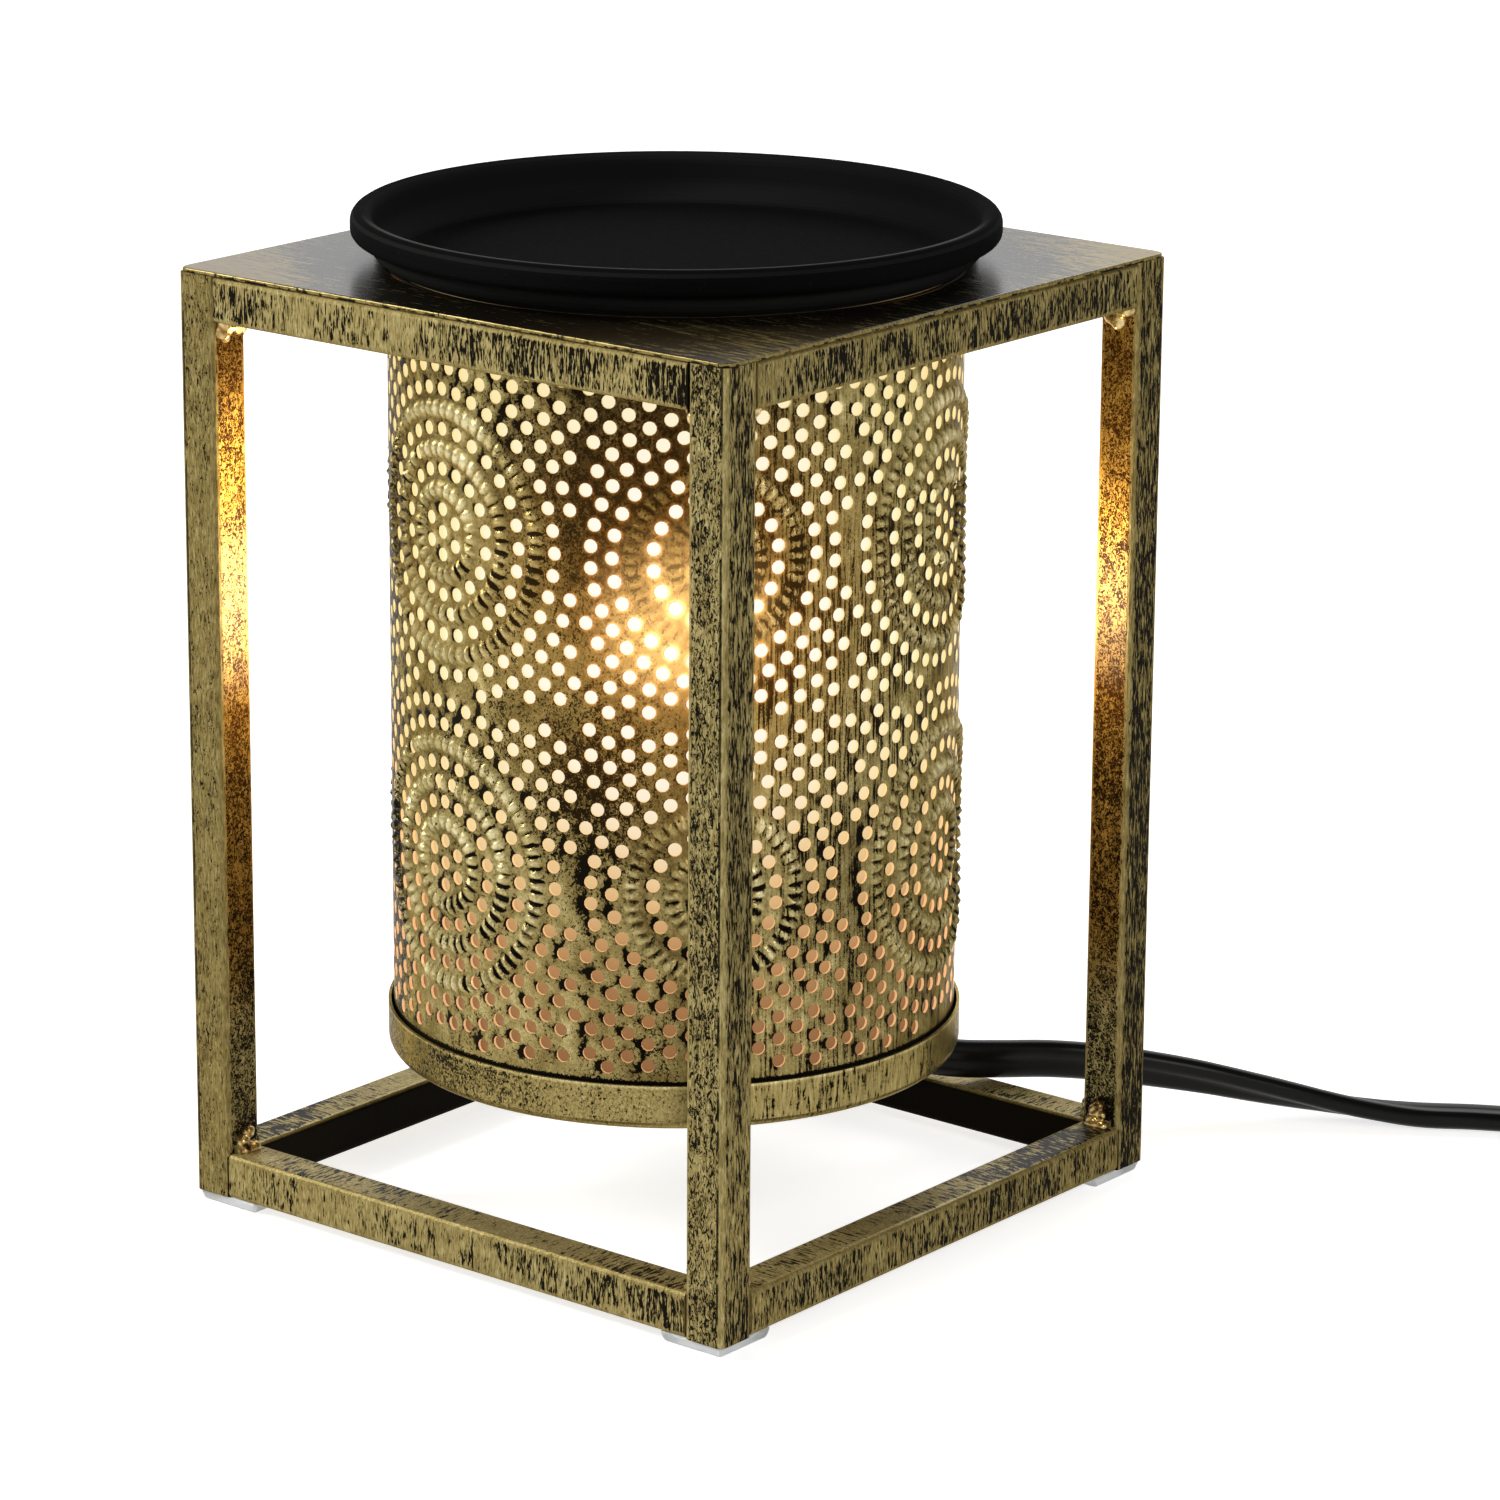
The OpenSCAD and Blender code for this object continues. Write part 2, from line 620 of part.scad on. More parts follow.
// An arc of slot for a lamp pin, from locked to free
module pin_slot(width, z, h) {
  spread = asin(width / 2 / pin_at);
  for (side = [90, 270]) rotate([0, 0, side - spread]) rotate_extrude(angle = twist + 2 * spread)
    translate([pin_at - width / 2, z]) square([width, h]);
}
module lamp_holder() {
  head = pin_head_d + 2 * pin_clear;
  color(CERAMIC) difference() {
    translate([0, 0, bridge_z]) cylinder(d = holder_d, h = holder_h);
    pin_slot(pin_neck_d + 2 * pin_clear, holder_top_z - slot_skin - 1, slot_skin + 2);
    pin_slot(head, holder_top_z - slot_depth, slot_depth - slot_skin);
    for (side = [90, 270]) rotate([0, 0, side + twist]) translate([pin_at, 0, holder_top_z - slot_depth])
      cylinder(d = head, h = slot_depth + 1, $fn = 48);
    at_holder_screws() {
      screw_hole(bridge_z, holder_h);
      translate([0, 0, holder_top_z - screw_head_h - 0.6])
        cylinder(d = screw_head_d + screw_clear, h = screw_head_h + 2, $fn = 48);
    }
  }
}
module holder_contacts() {
  color(BRASS) for (side = [90, 270]) rotate([0, 0, side]) translate([pin_at, 0, holder_top_z - slot_depth])
    cylinder(d = pin_head_d - 1, h = 1, $fn = 32);
}
module holder_screws() {
  head_z = holder_top_z - screw_head_h - 0.6;
  shank = head_z - (bridge_z - bracket_t - nut_t - 0.6);
  color(STEEL) at_holder_screws() translate([0, 0, head_z]) {
    difference() {
      cylinder(d = screw_head_d, h = screw_head_h, $fn = 32);
      translate([-screw_head_d / 4, -0.4, screw_head_h - 0.8]) cube([screw_head_d / 2, 0.8, 2]);
    }
    translate([0, 0, -shank]) cylinder(d = screw_d, h = shank, $fn = 32);
  }
}
module holder_nuts() {
  color(STEEL) at_holder_screws() nut(bridge_z - bracket_t - nut_t);
}
module lamp_wires() {
  neck_z = cup_in_z + 5;
  color([0.85, 0.83, 0.78]) for (side = [-1, 1]) {
    x = side * wire_at;
    swept(
      [
        [gland_at[0] + x, gland_at[1], neck_z, 0], [gland_at[0] + x, gland_at[1], neck_z + 3, 0],
        [gland_at[0] + x, gland_at[1] - 1, neck_z + 6, 0], [x, gland_at[1] * 0.75, bridge_z - 8.5, 0],
        [x, gland_at[1] * 0.5, bridge_z - 6.6, 0], [x, gland_at[1] * 0.2, bridge_z - 4.8, 0],
        [x, 0.2, bridge_z - 2.6, 0], [x, 0, bridge_z - 1, 0], [x, 0, bridge_z, 0]
      ],
      [for (a = [22.5 : 45 : 337.5]) wire_d / 2 * [cos(a), sin(a)]],
      [1, 0, 0]
    );
  }
}

// Reflector lamp
module bulb_base() {
  r = bulb_base_d / 2;
  color(CERAMIC) translate([0, 0, bulb_z]) rotate_extrude()
    polygon([[0, 0], [r, 0], [r, 11], [bulb_neck_r, 15], [bulb_neck_r, bulb_base_h], [0, bulb_base_h]]);
}
module bulb_pins() {
  color(STEEL) for (side = [90, 270]) rotate([0, 0, side]) translate([pin_at, 0, bulb_z - pin_neck_h]) {
    cylinder(d = pin_neck_d, h = pin_neck_h, $fn = 32);
    translate([0, 0, -pin_head_h]) cylinder(d = pin_head_d, h = pin_head_h, $fn = 32);
  }
}
module bulb_reflector() {
  low = bulb_neck_r - bulb_t / 2;
  top = bulb_r - bulb_t / 2;
  rise = bulb_l - bulb_base_h - bulb_rim_h - 1;
  path = concat(
    [[low, 0]],
    [for (i = [0 : 8]) let (s = i / 8) [low + (top - low) * sqrt(s * (1.4 - 0.4 * s)), 1 + rise * s]],
    [[top, 1 + rise + bulb_rim_h]]
  );
  color([0.95, 0.95, 0.92, 0.6]) translate([0, 0, bulb_z + bulb_base_h]) rotate_extrude()
    polygon(sheet(path, bulb_t));
}
module bulb_lens() {
  color([1, 0.97, 0.85, 0.5]) translate([0, 0, lens_z]) cylinder(r = bulb_r - bulb_t, h = lens_h);
}
module bulb_capsule() {
  color([1, 0.95, 0.8, 0.7]) translate([0, 0, bulb_z + bulb_base_h]) rotate_extrude($fn = 48)
    polygon([[0, 0], [4, 0], [4, 14], [2.8, 17], [1, 18.5], [0, 19]]);
}

// Gland, boot and nut: the boot runs back from the route's first point to the gland's middle
boot_way = unit(spot(run_route[1]) - spot(run_route[0]));
boot_root = spot(run_route[0]) - boot_l * boot_way;
gland_at = [boot_root[0], boot_root[1]];
gland_low_z = boot_root[2] - boot_root_r - 0.6;
boot_plan = atan2(boot_way[1], boot_way[0]);
boot_dip = acos(boot_way[2]);
module cord_gland() {
  color(BLACK) {
    difference() {
      union() {
        translate([each gland_at, gland_low_z]) cylinder(r = gland_r, h = cup_z - 2 - gland_low_z);
        translate([each gland_at, cup_z - 2]) cylinder(r = gland_r + 1.5, h = 2);
        translate([each gland_at, cup_z]) cylinder(r = gland_neck_r, h = cup_t + 5);
        translate(boot_root) rotate([0, boot_dip, boot_plan])
          cylinder(r1 = boot_root_r, r2 = boot_tip_r, h = boot_l, $fn = 64);
      }
      for (s = [11 : 3 : 20]) translate(boot_root + s * boot_way) rotate([0, boot_dip, boot_plan])
        difference() {
          cylinder(r = boot_root_r + 1, h = 1.2, $fn = 64);
          translate([0, 0, -1]) cylinder(r = boot_tip_r - 0.7, h = 4, $fn = 64);
        }
    }
  }
}
module gland_nut() {
  color(BLACK) translate([each gland_at, cup_in_z]) difference() {
    cylinder(r = gland_neck_r + 2.6, h = 3, $fn = 6);
    translate([0, 0, -1]) cylinder(r = gland_neck_r + 0.05, h = 5);
  }
}

// Cord
module cord_run() {
  color(BLACK) swept(run_route, twin_outline());
}
module cord_lead() {
  color(BLACK) swept(lead_route, twin_outline());
}
module cord_coil() {
  color(BLACK) swept(coil_route, six_outline());
}
module cord_tail() {
  color(BLACK) swept(tail_route, twin_outline());
}
// The tie stands opposite the place where the coil climbs
tie_turn = coil_start - 15 * coil_half + 180;
module coil_tie() {
  last = 12 + 24 * floor((coil_half - 12) / 24);
  inner = coil_radius(coil_half + 12) * cos(7.5) - cord_t / 2 - tie_clear;
  outer = coil_radius(coil_half + last) + cord_t / 2 + tie_clear;
  top = coil_z[1] + cord_w / 2 + tie_clear;
  color([0.12, 0.12, 0.12]) translate(coil_mid) rotate([0, 0, tie_turn]) rotate([90, 0, 0])
    linear_extrude(tie_w, center = true) difference() {
      translate([inner - tie_t, 0]) square([outer - inner + 2 * tie_t, top + tie_t]);
      translate([inner, tie_t]) square([outer - inner, top - tie_t]);
    }
}

// Inline switch, in its own frame: the cord comes in at the origin and leaves at +X
module at_switch() {
  translate(switch_in) rotate([0, 0, switch_turn]) translate([switch_l / 2, 0, 0]) children();
}
split_z = 8;
switch_corner_r = 7;
pivot_z = switch_h - 3.2;
pivot_half = rocker_w / 2 + 1.4;
boss_at = 18;
boss_r = 3;
window_l = rocker_l + 2 * rocker_clear + 0.8;
window_w = rocker_w + 2 * rocker_clear;
module shell_block(z, h, inset) {
  translate([0, 0, z]) linear_extrude(h)
    polygon(rounded(switch_l - 2 * inset, switch_w - 2 * inset, switch_corner_r - inset, 5));
}
module at_bosses() {
  for (side = [-1, 1]) translate([side * boss_at, 0, 0]) children();
}
module switch_lower() {
  color(BLACK) at_switch() difference() {
    union() {
      difference() {
        shell_block(0, split_z, 0);
        shell_block(switch_wall, split_z, switch_wall);
      }
      at_bosses() translate([0, 0, 1]) cylinder(r = boss_r, h = split_z - 1, $fn = 48);
    }
    at_bosses() {
      translate([0, 0, -1]) cylinder(d = 2.8, h = split_z + 2, $fn = 32);
      translate([0, 0, -1]) cylinder(d = 5, h = 3.2, $fn = 32);
    }
  }
}
module switch_upper() {
  lug_t = 1.6;
  lug_y = rocker_w / 2 + rocker_clear / 2;
  color(BLACK) at_switch() difference() {
    union() {
      difference() {
        shell_block(split_z, switch_h - split_z, 0);
        shell_block(split_z - 1, switch_h - split_z + 1 - switch_wall, switch_wall);
        translate([0, 0, switch_h - switch_wall / 2])
          cube([window_l, window_w, switch_wall * 2], center = true);
      }
      for (side = [-1, 1]) translate([0, side * (lug_y + lug_t / 2), pivot_z - 0.2])
        cube([6, lug_t, 2 * (switch_h - pivot_z) - 0.4 - switch_wall], center = true);
      at_bosses() translate([0, 0, split_z]) cylinder(r = boss_r, h = switch_h - split_z - 1, $fn = 48);
    }
    translate([0, 0, pivot_z]) rotate([90, 0, 0])
      cylinder(d = pivot_d + 2 * pivot_clear, h = 2 * (lug_y + lug_t) + 2, center = true, $fn = 48);
    at_bosses() translate([0, 0, split_z - 1]) cylinder(d = 2.5, h = 5.4, $fn = 32);
  }
}
module switch_rocker() {
  half = rocker_l / 2;
  crown = switch_h - pivot_z;
  color([0.1, 0.1, 0.1]) at_switch() translate([0, 0, pivot_z]) rotate([0, rocker_tilt, 0]) {
    rotate([90, 0, 0]) linear_extrude(rocker_w, center = true) polygon([
      [-half, -1.2], [-2.2, -2.6], [2.2, -2.6], [half, -1.2], [half, crown + 1.4], [0, crown + 0.2],
      [-half, crown + 1.4]
    ]);
    rotate([90, 0, 0]) cylinder(d = pivot_d, h = 2 * pivot_half, center = true, $fn = 32);
  }
}
module switch_contacts() {
  color(BRASS) at_switch() for (side = [-1, 1]) translate([side * 10.5, 0, switch_wall])
    difference() {
      translate([-4, -3, 0]) cube([8, 6, 5.2]);
      translate([-3, -4, 1]) cube([6, 8, 3.2]);
    }
}
module switch_screws() {
  color(STEEL) at_switch() at_bosses() {
    translate([0, 0, 0.4]) cylinder(d = 4.6, h = 1.8, $fn = 32);
    translate([0, 0, 2.2]) cylinder(d = 2.4, h = split_z + 1.6, $fn = 32);
  }
}

// Plug, in its own frame: the cord comes in at the origin and the blades point to +X
module at_plug() {
  translate(plug_in) rotate([0, 0, plug_turn]) children();
}
module at_blades() {
  for (k = [0, 1]) translate([plug_l, (k - 0.5) * blade_span, 0])
    translate([0, 0, -blade_widths[k] / 2]) children(k);
}
module plug_body() {
  w = plug_w / 2;
  t = plug_t / 2;
  neck = cord_w / 2 + 1.2;
  color(BLACK) at_plug() difference() {
    intersection() {
      linear_extrude(plug_t, center = true) polygon([
        [0, -neck], [10, -neck - 0.8], [16, 1 - w], [plug_l - 3, -w], [plug_l, 2 - w],
        [plug_l, w - 2], [plug_l - 3, w], [16, w - 1], [10, neck + 0.8], [0, neck]
      ]);
      rotate([90, 0, 0]) linear_extrude(plug_w + 2, center = true) polygon([
        [0, -3], [9, -3.6], [15, -t], [plug_l - 1.5, -t], [plug_l, 1.5 - t],
        [plug_l, t - 1.5], [plug_l - 1.5, t], [15, t], [9, 3.6], [0, 3]
      ]);
    }
    at_blades() {
      translate([-4, -blade_t / 2, 0]) cube([6, blade_t, blade_widths[0]]);
      translate([-4, -blade_t / 2, 0]) cube([6, blade_t, blade_widths[1]]);
    }
  }
}
module blade(width) {
  nose = width - 2;
  rotate([90, 0, 0]) linear_extrude(blade_t, center = true) difference() {
    polygon([
      [-4, 0], [blade_l - 2, 0], [blade_l, (width - nose) / 2 + 0.8], [blade_l, (width + nose) / 2 - 0.8],
      [blade_l - 2, width], [-4, width]
    ]);
    translate([blade_l - 5, width / 2]) circle(d = blade_hole_d, $fn = 32);
  }
}
module plug_blades() {
  color(BRASS) at_plug() at_blades() {
    blade(blade_widths[0]);
    blade(blade_widths[1]);
  }
}

post(1, -1);  // post_front_right
post(-1, -1);  // post_front_left
post(1, 1);  // post_back_right
post(-1, 1);  // post_back_left
rail(0, rail_z[1]);  // top_rail_front
rail(1, rail_z[1]);  // top_rail_right
rail(2, rail_z[1]);  // top_rail_back
rail(3, rail_z[1]);  // top_rail_left
rail(0, rail_z[0]);  // bottom_rail_front
rail(1, rail_z[0]);  // bottom_rail_right
rail(2, rail_z[0]);  // bottom_rail_back
rail(3, rail_z[0]);  // bottom_rail_left
weld_beads();
top_plate();
foot(1, -1);  // foot_front_right
foot(-1, -1);  // foot_front_left
foot(1, 1);  // foot_back_right
foot(-1, 1);  // foot_back_left
wax_dish();
shade();
diffuser_liner();
base_cup();
shade_clips();
floor_screws();
floor_nuts();
lamp_bracket();
lamp_holder();
holder_contacts();
holder_screws();
holder_nuts();
lamp_wires();
bulb_base();
bulb_pins();
bulb_reflector();
bulb_lens();
bulb_capsule();
cord_gland();
gland_nut();
cord_run();
cord_lead();
cord_coil();
cord_tail();
coil_tie();
switch_lower();
switch_upper();
switch_rocker();
switch_contacts();
switch_screws();
plug_body();
plug_blades();
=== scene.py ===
import json
import math
import random

import bmesh
import bpy
import numpy as np
from mathutils import Matrix, Vector
from mathutils.geometry import delaunay_2d_cdt
from mathutils.kdtree import KDTree

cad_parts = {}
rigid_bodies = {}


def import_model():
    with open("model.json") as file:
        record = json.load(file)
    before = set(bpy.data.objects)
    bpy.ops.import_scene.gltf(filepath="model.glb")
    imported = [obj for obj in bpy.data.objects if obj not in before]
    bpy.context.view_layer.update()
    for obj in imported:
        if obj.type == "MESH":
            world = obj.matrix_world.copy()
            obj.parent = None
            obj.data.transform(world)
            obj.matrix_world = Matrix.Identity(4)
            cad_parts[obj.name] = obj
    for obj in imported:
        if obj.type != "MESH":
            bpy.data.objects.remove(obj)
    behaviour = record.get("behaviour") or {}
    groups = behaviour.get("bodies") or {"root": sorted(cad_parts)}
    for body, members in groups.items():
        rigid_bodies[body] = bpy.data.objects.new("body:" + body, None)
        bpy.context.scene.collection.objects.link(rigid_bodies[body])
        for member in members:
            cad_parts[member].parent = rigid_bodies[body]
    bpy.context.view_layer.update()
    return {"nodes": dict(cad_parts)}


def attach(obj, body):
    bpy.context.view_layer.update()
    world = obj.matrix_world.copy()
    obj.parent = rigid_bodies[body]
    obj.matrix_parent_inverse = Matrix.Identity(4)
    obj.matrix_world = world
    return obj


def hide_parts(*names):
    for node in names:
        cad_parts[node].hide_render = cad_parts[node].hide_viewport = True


for ob in list(bpy.data.objects):
    bpy.data.objects.remove(ob)
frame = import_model()
MM = 0.001
scene = bpy.context.scene
scene.view_settings.view_transform = "Standard"

# ---------------------------------------------------------------- camera
AZ, EL, ROLL = math.radians(38.872), math.radians(16.016), math.radians(0.3861)
back = Vector((math.sin(AZ) * math.cos(EL), -math.cos(AZ) * math.cos(EL), math.sin(EL)))
right = Vector((math.cos(AZ), math.sin(AZ), 0))
up = back.cross(right)
cam_x = math.cos(ROLL) * right + math.sin(ROLL) * up
cam_y = -math.sin(ROLL) * right + math.cos(ROLL) * up
cam = bpy.data.objects.new("camera", bpy.data.cameras.new("camera"))
cam.data.lens = 141.31
cam.data.sensor_width = 36
cam.data.clip_start = 0.05
turn = Matrix((cam_x, cam_y, back)).transposed()
cam.matrix_world = Matrix.Translation((0.63165, -0.76267, 0.36504)) @ turn.to_4x4()
scene.collection.objects.link(cam)
scene.camera = cam


# ---------------------------------------------------------------- mesh helpers
def add(name, verts, faces, mat, smooth=None):
    """A mesh object from points in millimetres."""
    me = bpy.data.meshes.new(name)
    me.from_pydata([[c * MM for c in v] for v in verts], [], faces)
    return place(name, me, mat, smooth)


def place(name, me, mat, smooth=None):
    """Puts a mesh into the scene, riding the frame."""
    ob = bpy.data.objects.new(name, me)
    scene.collection.objects.link(ob)
    me.materials.append(mat)
    if smooth is not None:
        me.shade_smooth()
        me.set_sharp_from_angle(angle=math.radians(smooth))
    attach(ob, "frame")
    return ob


def edit(me, change):
    """Runs change on a mesh as a bmesh."""
    bm = bmesh.new()
    bm.from_mesh(me)
    change(bm)
    bm.to_mesh(me)
    bm.free()


def tube_faces(n, m):
    """Quads between n closed rows of m points."""
    out = []
    for i in range(n - 1):
        for k in range(m):
            a, b = i * m + k, i * m + (k + 1) % m
            out.append((a, b, b + m, a + m))
    return out


# ---------------------------------------------------------------- cords
CORD_W, CORD_T = 7.2, 3.6
RUN = [
    (12, 35.5, 18.6, 0), (15.5, 41.5, 17.9, 0), (19, 47.5, 16.3, 0), (23, 54, 14.6, 0),
    (27.2, 61, 13.6, 2), (32, 69, 12.6, 5), (38, 76.5, 11.3, 10), (44.5, 83.5, 9.6, 18),
    (52, 90.5, 7.7, 28), (60, 96.5, 5.8, 42), (68, 102, 4.1, 58), (76.5, 107, 2.8, 75),
    (85, 112, 2.1, 88), (93, 117.5, 2, 90), (100, 121.6, 2, 90), (107, 124.8, 2.5, 90),
    (114.5, 127, 3.6, 90), (122, 128, 4.8, 90), (129.5, 127.9, 5.5, 90), (137, 127, 5.5, 90),
]
SWITCH_L, LEAD_L, TAIL_L, PLUG_T = 52, 34, 45, 13
TURN_STEPS, STEP_DEG = 24, 15  # points to one turn of the coil
COIL_R, COIL_PITCH, COIL_STEPS, CLIMB, TUCK, TUCK_SPAN = 42, 4.3, 127, 5, 2.4, 9
COIL_Z = (0.9 + CORD_W / 2, 0.9 + CORD_W * 1.5 + 0.6)

switch_a = math.atan2(RUN[-1][1] - RUN[-2][1], RUN[-1][0] - RUN[-2][0])
way = Vector((math.cos(switch_a), math.sin(switch_a), 0))
switch_in = Vector((RUN[-1][0], RUN[-1][1], 0))
switch_out = switch_in + SWITCH_L * way
coil_first = switch_out + LEAD_L * way
coil_a0 = math.pi / 2 + switch_a
coil_mid = coil_first - COIL_R * Vector((math.cos(coil_a0), math.sin(coil_a0), 0))
coil_a1 = coil_a0 - math.radians(STEP_DEG * COIL_STEPS)
coil_half = COIL_STEPS / 2
coil_in = COIL_R - COIL_PITCH * coil_half / TURN_STEPS
tail_way = Vector((math.sin(coil_a1), -math.cos(coil_a1), 0))
coil_last = coil_mid + COIL_R * Vector((math.cos(coil_a1), math.sin(coil_a1), 0))
tail_start = coil_last + CORD_W * tail_way
plug_in = tail_start + TAIL_L * tail_way + Vector((0, 0, PLUG_T / 2))


def coil_point(i):
    """A point of the flat coil: it winds in on the lower layer, climbs, and winds out on the upper one."""
    u = abs(i - coil_half)
    r = coil_in + COIL_PITCH * u / TURN_STEPS
    if u < TUCK_SPAN:
        r -= TUCK * (1 + math.cos(math.pi * u / TUCK_SPAN)) / 2
    s = min(max((i - coil_half + CLIMB) / (2 * CLIMB), 0), 1)
    z = COIL_Z[0] + (COIL_Z[1] - COIL_Z[0]) * s * s * (3 - 2 * s)
    a = coil_a0 - math.radians(STEP_DEG * i)
    return (coil_mid.x + r * math.cos(a), coil_mid.y + r * math.sin(a), z, 0)


def catmull(points, steps):
    """A smooth line through the points, their fourth value too."""
    pts = np.array(points, float)
    ext = np.vstack([2 * pts[0] - pts[1], pts, 2 * pts[-1] - pts[-2]])
    out = []
    for i in range(len(pts) - 1):
        p0, p1, p2, p3 = ext[i:i + 4]
        for s in range(steps):
            t = s / steps
            out.append(0.5 * (2 * p1 + (p2 - p0) * t + (2 * p0 - 5 * p1 + 4 * p2 - p3) * t * t
                              + (3 * p1 - p0 - 3 * p2 + p3) * t ** 3))
    out.append(pts[-1])
    return [tuple(p) for p in out]


def twin_outline(n=9):
    """Two round cores side by side, joined by a thinner web."""
    r, c = CORD_T / 2, CORD_W / 2 - CORD_T / 2
    a0 = math.degrees(math.asin(0.62))
    pts = [(r * math.cos(math.radians(a)), c + r * math.sin(math.radians(a)))
           for a in np.linspace(-a0, 180 + a0, n)]
    pts += [(-r * 0.66, 0)]
    pts += [(r * math.cos(math.radians(a)), -c + r * math.sin(math.radians(a)))
            for a in np.linspace(180 - a0, 360 + a0, n)]
    pts += [(r * 0.66, 0)]
    return pts


def swept(name, route, outline, mat):
    """The outline swept along a route of points with a roll angle in degrees, closed at both ends."""
    pts = [Vector(p[:3]) for p in route]
    verts, n = [], len(outline)
    for i, p in enumerate(pts):
        t = (pts[min(i + 1, len(pts) - 1)] - pts[max(i - 1, 0)]).normalized()
        u = (Vector((0, 0, 1)) - t.z * t).normalized()
        side = t.cross(u)
        a = math.radians(route[i][3])
        wide = math.cos(a) * u + math.sin(a) * side
        thin = wide.cross(t)
        verts += [p + q[0] * thin + q[1] * wide for q in outline]
    faces = [tuple(reversed(f)) for f in tube_faces(len(pts), n)]
    faces += [tuple(range(n)), tuple(range((len(pts) - 1) * n, len(pts) * n))[::-1]]
    ob = add(name, verts, faces, mat, smooth=50)
    edit(ob.data, lambda bm: bmesh.ops.recalc_face_normals(bm, faces=bm.faces))
    return ob


# ---------------------------------------------------------------- materials
class Graph:
    """A material built from nodes, each call giving back a socket."""

    def __init__(self, name):
        self.mat = bpy.data.materials.new(name)
        self.mat.use_nodes = True
        self.tree = self.mat.node_tree
        self.tree.nodes.clear()
        self.pos = self.node("TexCoord", out="Object")

    def node(self, kind, *values, out=0, named=None, **props):
        n = self.tree.nodes.new("ShaderNode" + kind)
        for k, v in props.items():
            setattr(n, k, v)
        for i, v in enumerate(values):
            if v is not None:
                self.put(n.inputs[i], v)
        for k, v in (named or {}).items():
            self.put(n.inputs[k], v)
        return n.outputs[out]

    def put(self, socket, v):
        if isinstance(v, bpy.types.NodeSocket):
            self.tree.links.new(v, socket)
        elif socket.type == "RGBA":
            socket.default_value = (*v, 1)
        else:
            socket.default_value = v

    def math(self, op, a, b=None, clamp=False):
        return self.node("Math", a, b, operation=op, use_clamp=clamp)

    def chain(self, op, terms):
        out = terms[0]
        for t in terms[1:]:
            out = self.math(op, out, t)
        return out

    def add(self, *terms):
        return self.chain("ADD", terms)

    def mul(self, *terms):
        return self.chain("MULTIPLY", terms)

    def sub(self, a, b):
        return self.math("SUBTRACT", a, b)

    def max(self, a, b):
        return self.math("MAXIMUM", a, b)

    def min(self, a, b):
        return self.math("MINIMUM", a, b)

    def abs(self, a):
        return self.math("ABSOLUTE", a)

    def above(self, a, b):
        return self.math("GREATER_THAN", a, b)

    def below(self, a, b):
        return self.math("LESS_THAN", a, b)

    def mix(self, f, a, b, blend="MIX"):
        n = self.tree.nodes.new("ShaderNodeMix")
        n.data_type, n.blend_type = "RGBA", blend
        self.put(n.inputs[0], f)
        self.put(n.inputs[6], a)
        self.put(n.inputs[7], b)
        return n.outputs[2]

    def step(self, v, lo, hi, to_lo=0.0, to_hi=1.0):
        return self.node("MapRange", v, lo, hi, to_lo, to_hi, interpolation_type="SMOOTHSTEP")

    def ramp(self, v, *stops):
        n = self.tree.nodes.new("ShaderNodeValToRGB")
        self.put(n.inputs[0], v)
        e = n.color_ramp.elements
        while len(e) < len(stops):
            e.new(0.5)
        for el, (at, color) in zip(e, stops):
            el.position, el.color = at, (*color, 1)
        return n.outputs[0]

    def noise(self, scale, detail=3.0, rough=0.55, distort=0.0):
        """Noise with scale cells to the metre, one number or one for each of x, y and z."""
        scale = scale if isinstance(scale, tuple) else (scale,) * 3
        vec = self.node("Mapping", self.pos, None, None, scale)
        return self.node("TexNoise", named={"Vector": vec, "Scale": 1, "Detail": detail,
                                            "Roughness": rough, "Distortion": distort})

    def xyz(self, source=None):
        n = self.tree.nodes.new("ShaderNodeSeparateXYZ")
        self.put(n.inputs[0], source or self.pos)
        return n.outputs

    def grey(self, v):
        """A number as a colour, so that mix can blend it."""
        return self.node("CombineXYZ", v, v, v)

    def normal(self):
        return self.xyz(self.node("NewGeometry", out=1))

    def attribute(self, name):
        return self.node("Attribute", attribute_name=name, attribute_type="GEOMETRY", out=2)

    def bump(self, height, strength, dist):
        return self.node("Bump", named={"Strength": strength, "Distance": dist, "Height": height})

    def near(self, at, reach, power=1.0):
        """1 at a point in millimetres, falling to 0 at reach from it."""
        d = self.node("VectorMath", self.pos, tuple(c * MM for c in at), operation="DISTANCE", out=1)
        return self.math("POWER", self.step(d, 0.0, reach * MM, 1, 0), power)

    def line(self, v, at, half):
        """1 where v is within half of at."""
        return self.step(self.abs(self.sub(v, at)), half, half + LINE_FADE, 1, 0)

    def radius(self, x, y):
        return self.math("SQRT", self.add(self.mul(x, x), self.mul(y, y)))

    def outward(self, x, y, nx, ny):
        """Above 0 on a face that looks away from the axis, below 0 on one that looks at it."""
        return self.add(self.mul(nx, x), self.mul(ny, y))

    def right_side(self, x, y):
        """1 on the half that the photograph shows at the right."""
        return self.step(self.add(self.mul(x, 0.8), self.mul(y, 0.62)), -0.004, 0.014)

    def surface(self, shader):
        out = self.tree.nodes.new("ShaderNodeOutputMaterial")
        self.tree.links.new(shader, out.inputs[0])
        return self.mat

    def principled(self, **named):
        keys = {"color": "Base Color", "rough": "Roughness", "metal": "Metallic", "normal": "Normal",
                "coat": "Coat Weight", "coat_rough": "Coat Roughness", "ior": "IOR",
                "spec": "Specular IOR Level", "glow": "Emission Color", "power": "Emission Strength",
                "through": "Transmission Weight", "sub": "Subsurface Weight", "sub_s": "Subsurface Scale",
                "tint": "Specular Tint"}
        return self.node("BsdfPrincipled", named={keys[k]: v for k, v in named.items()})


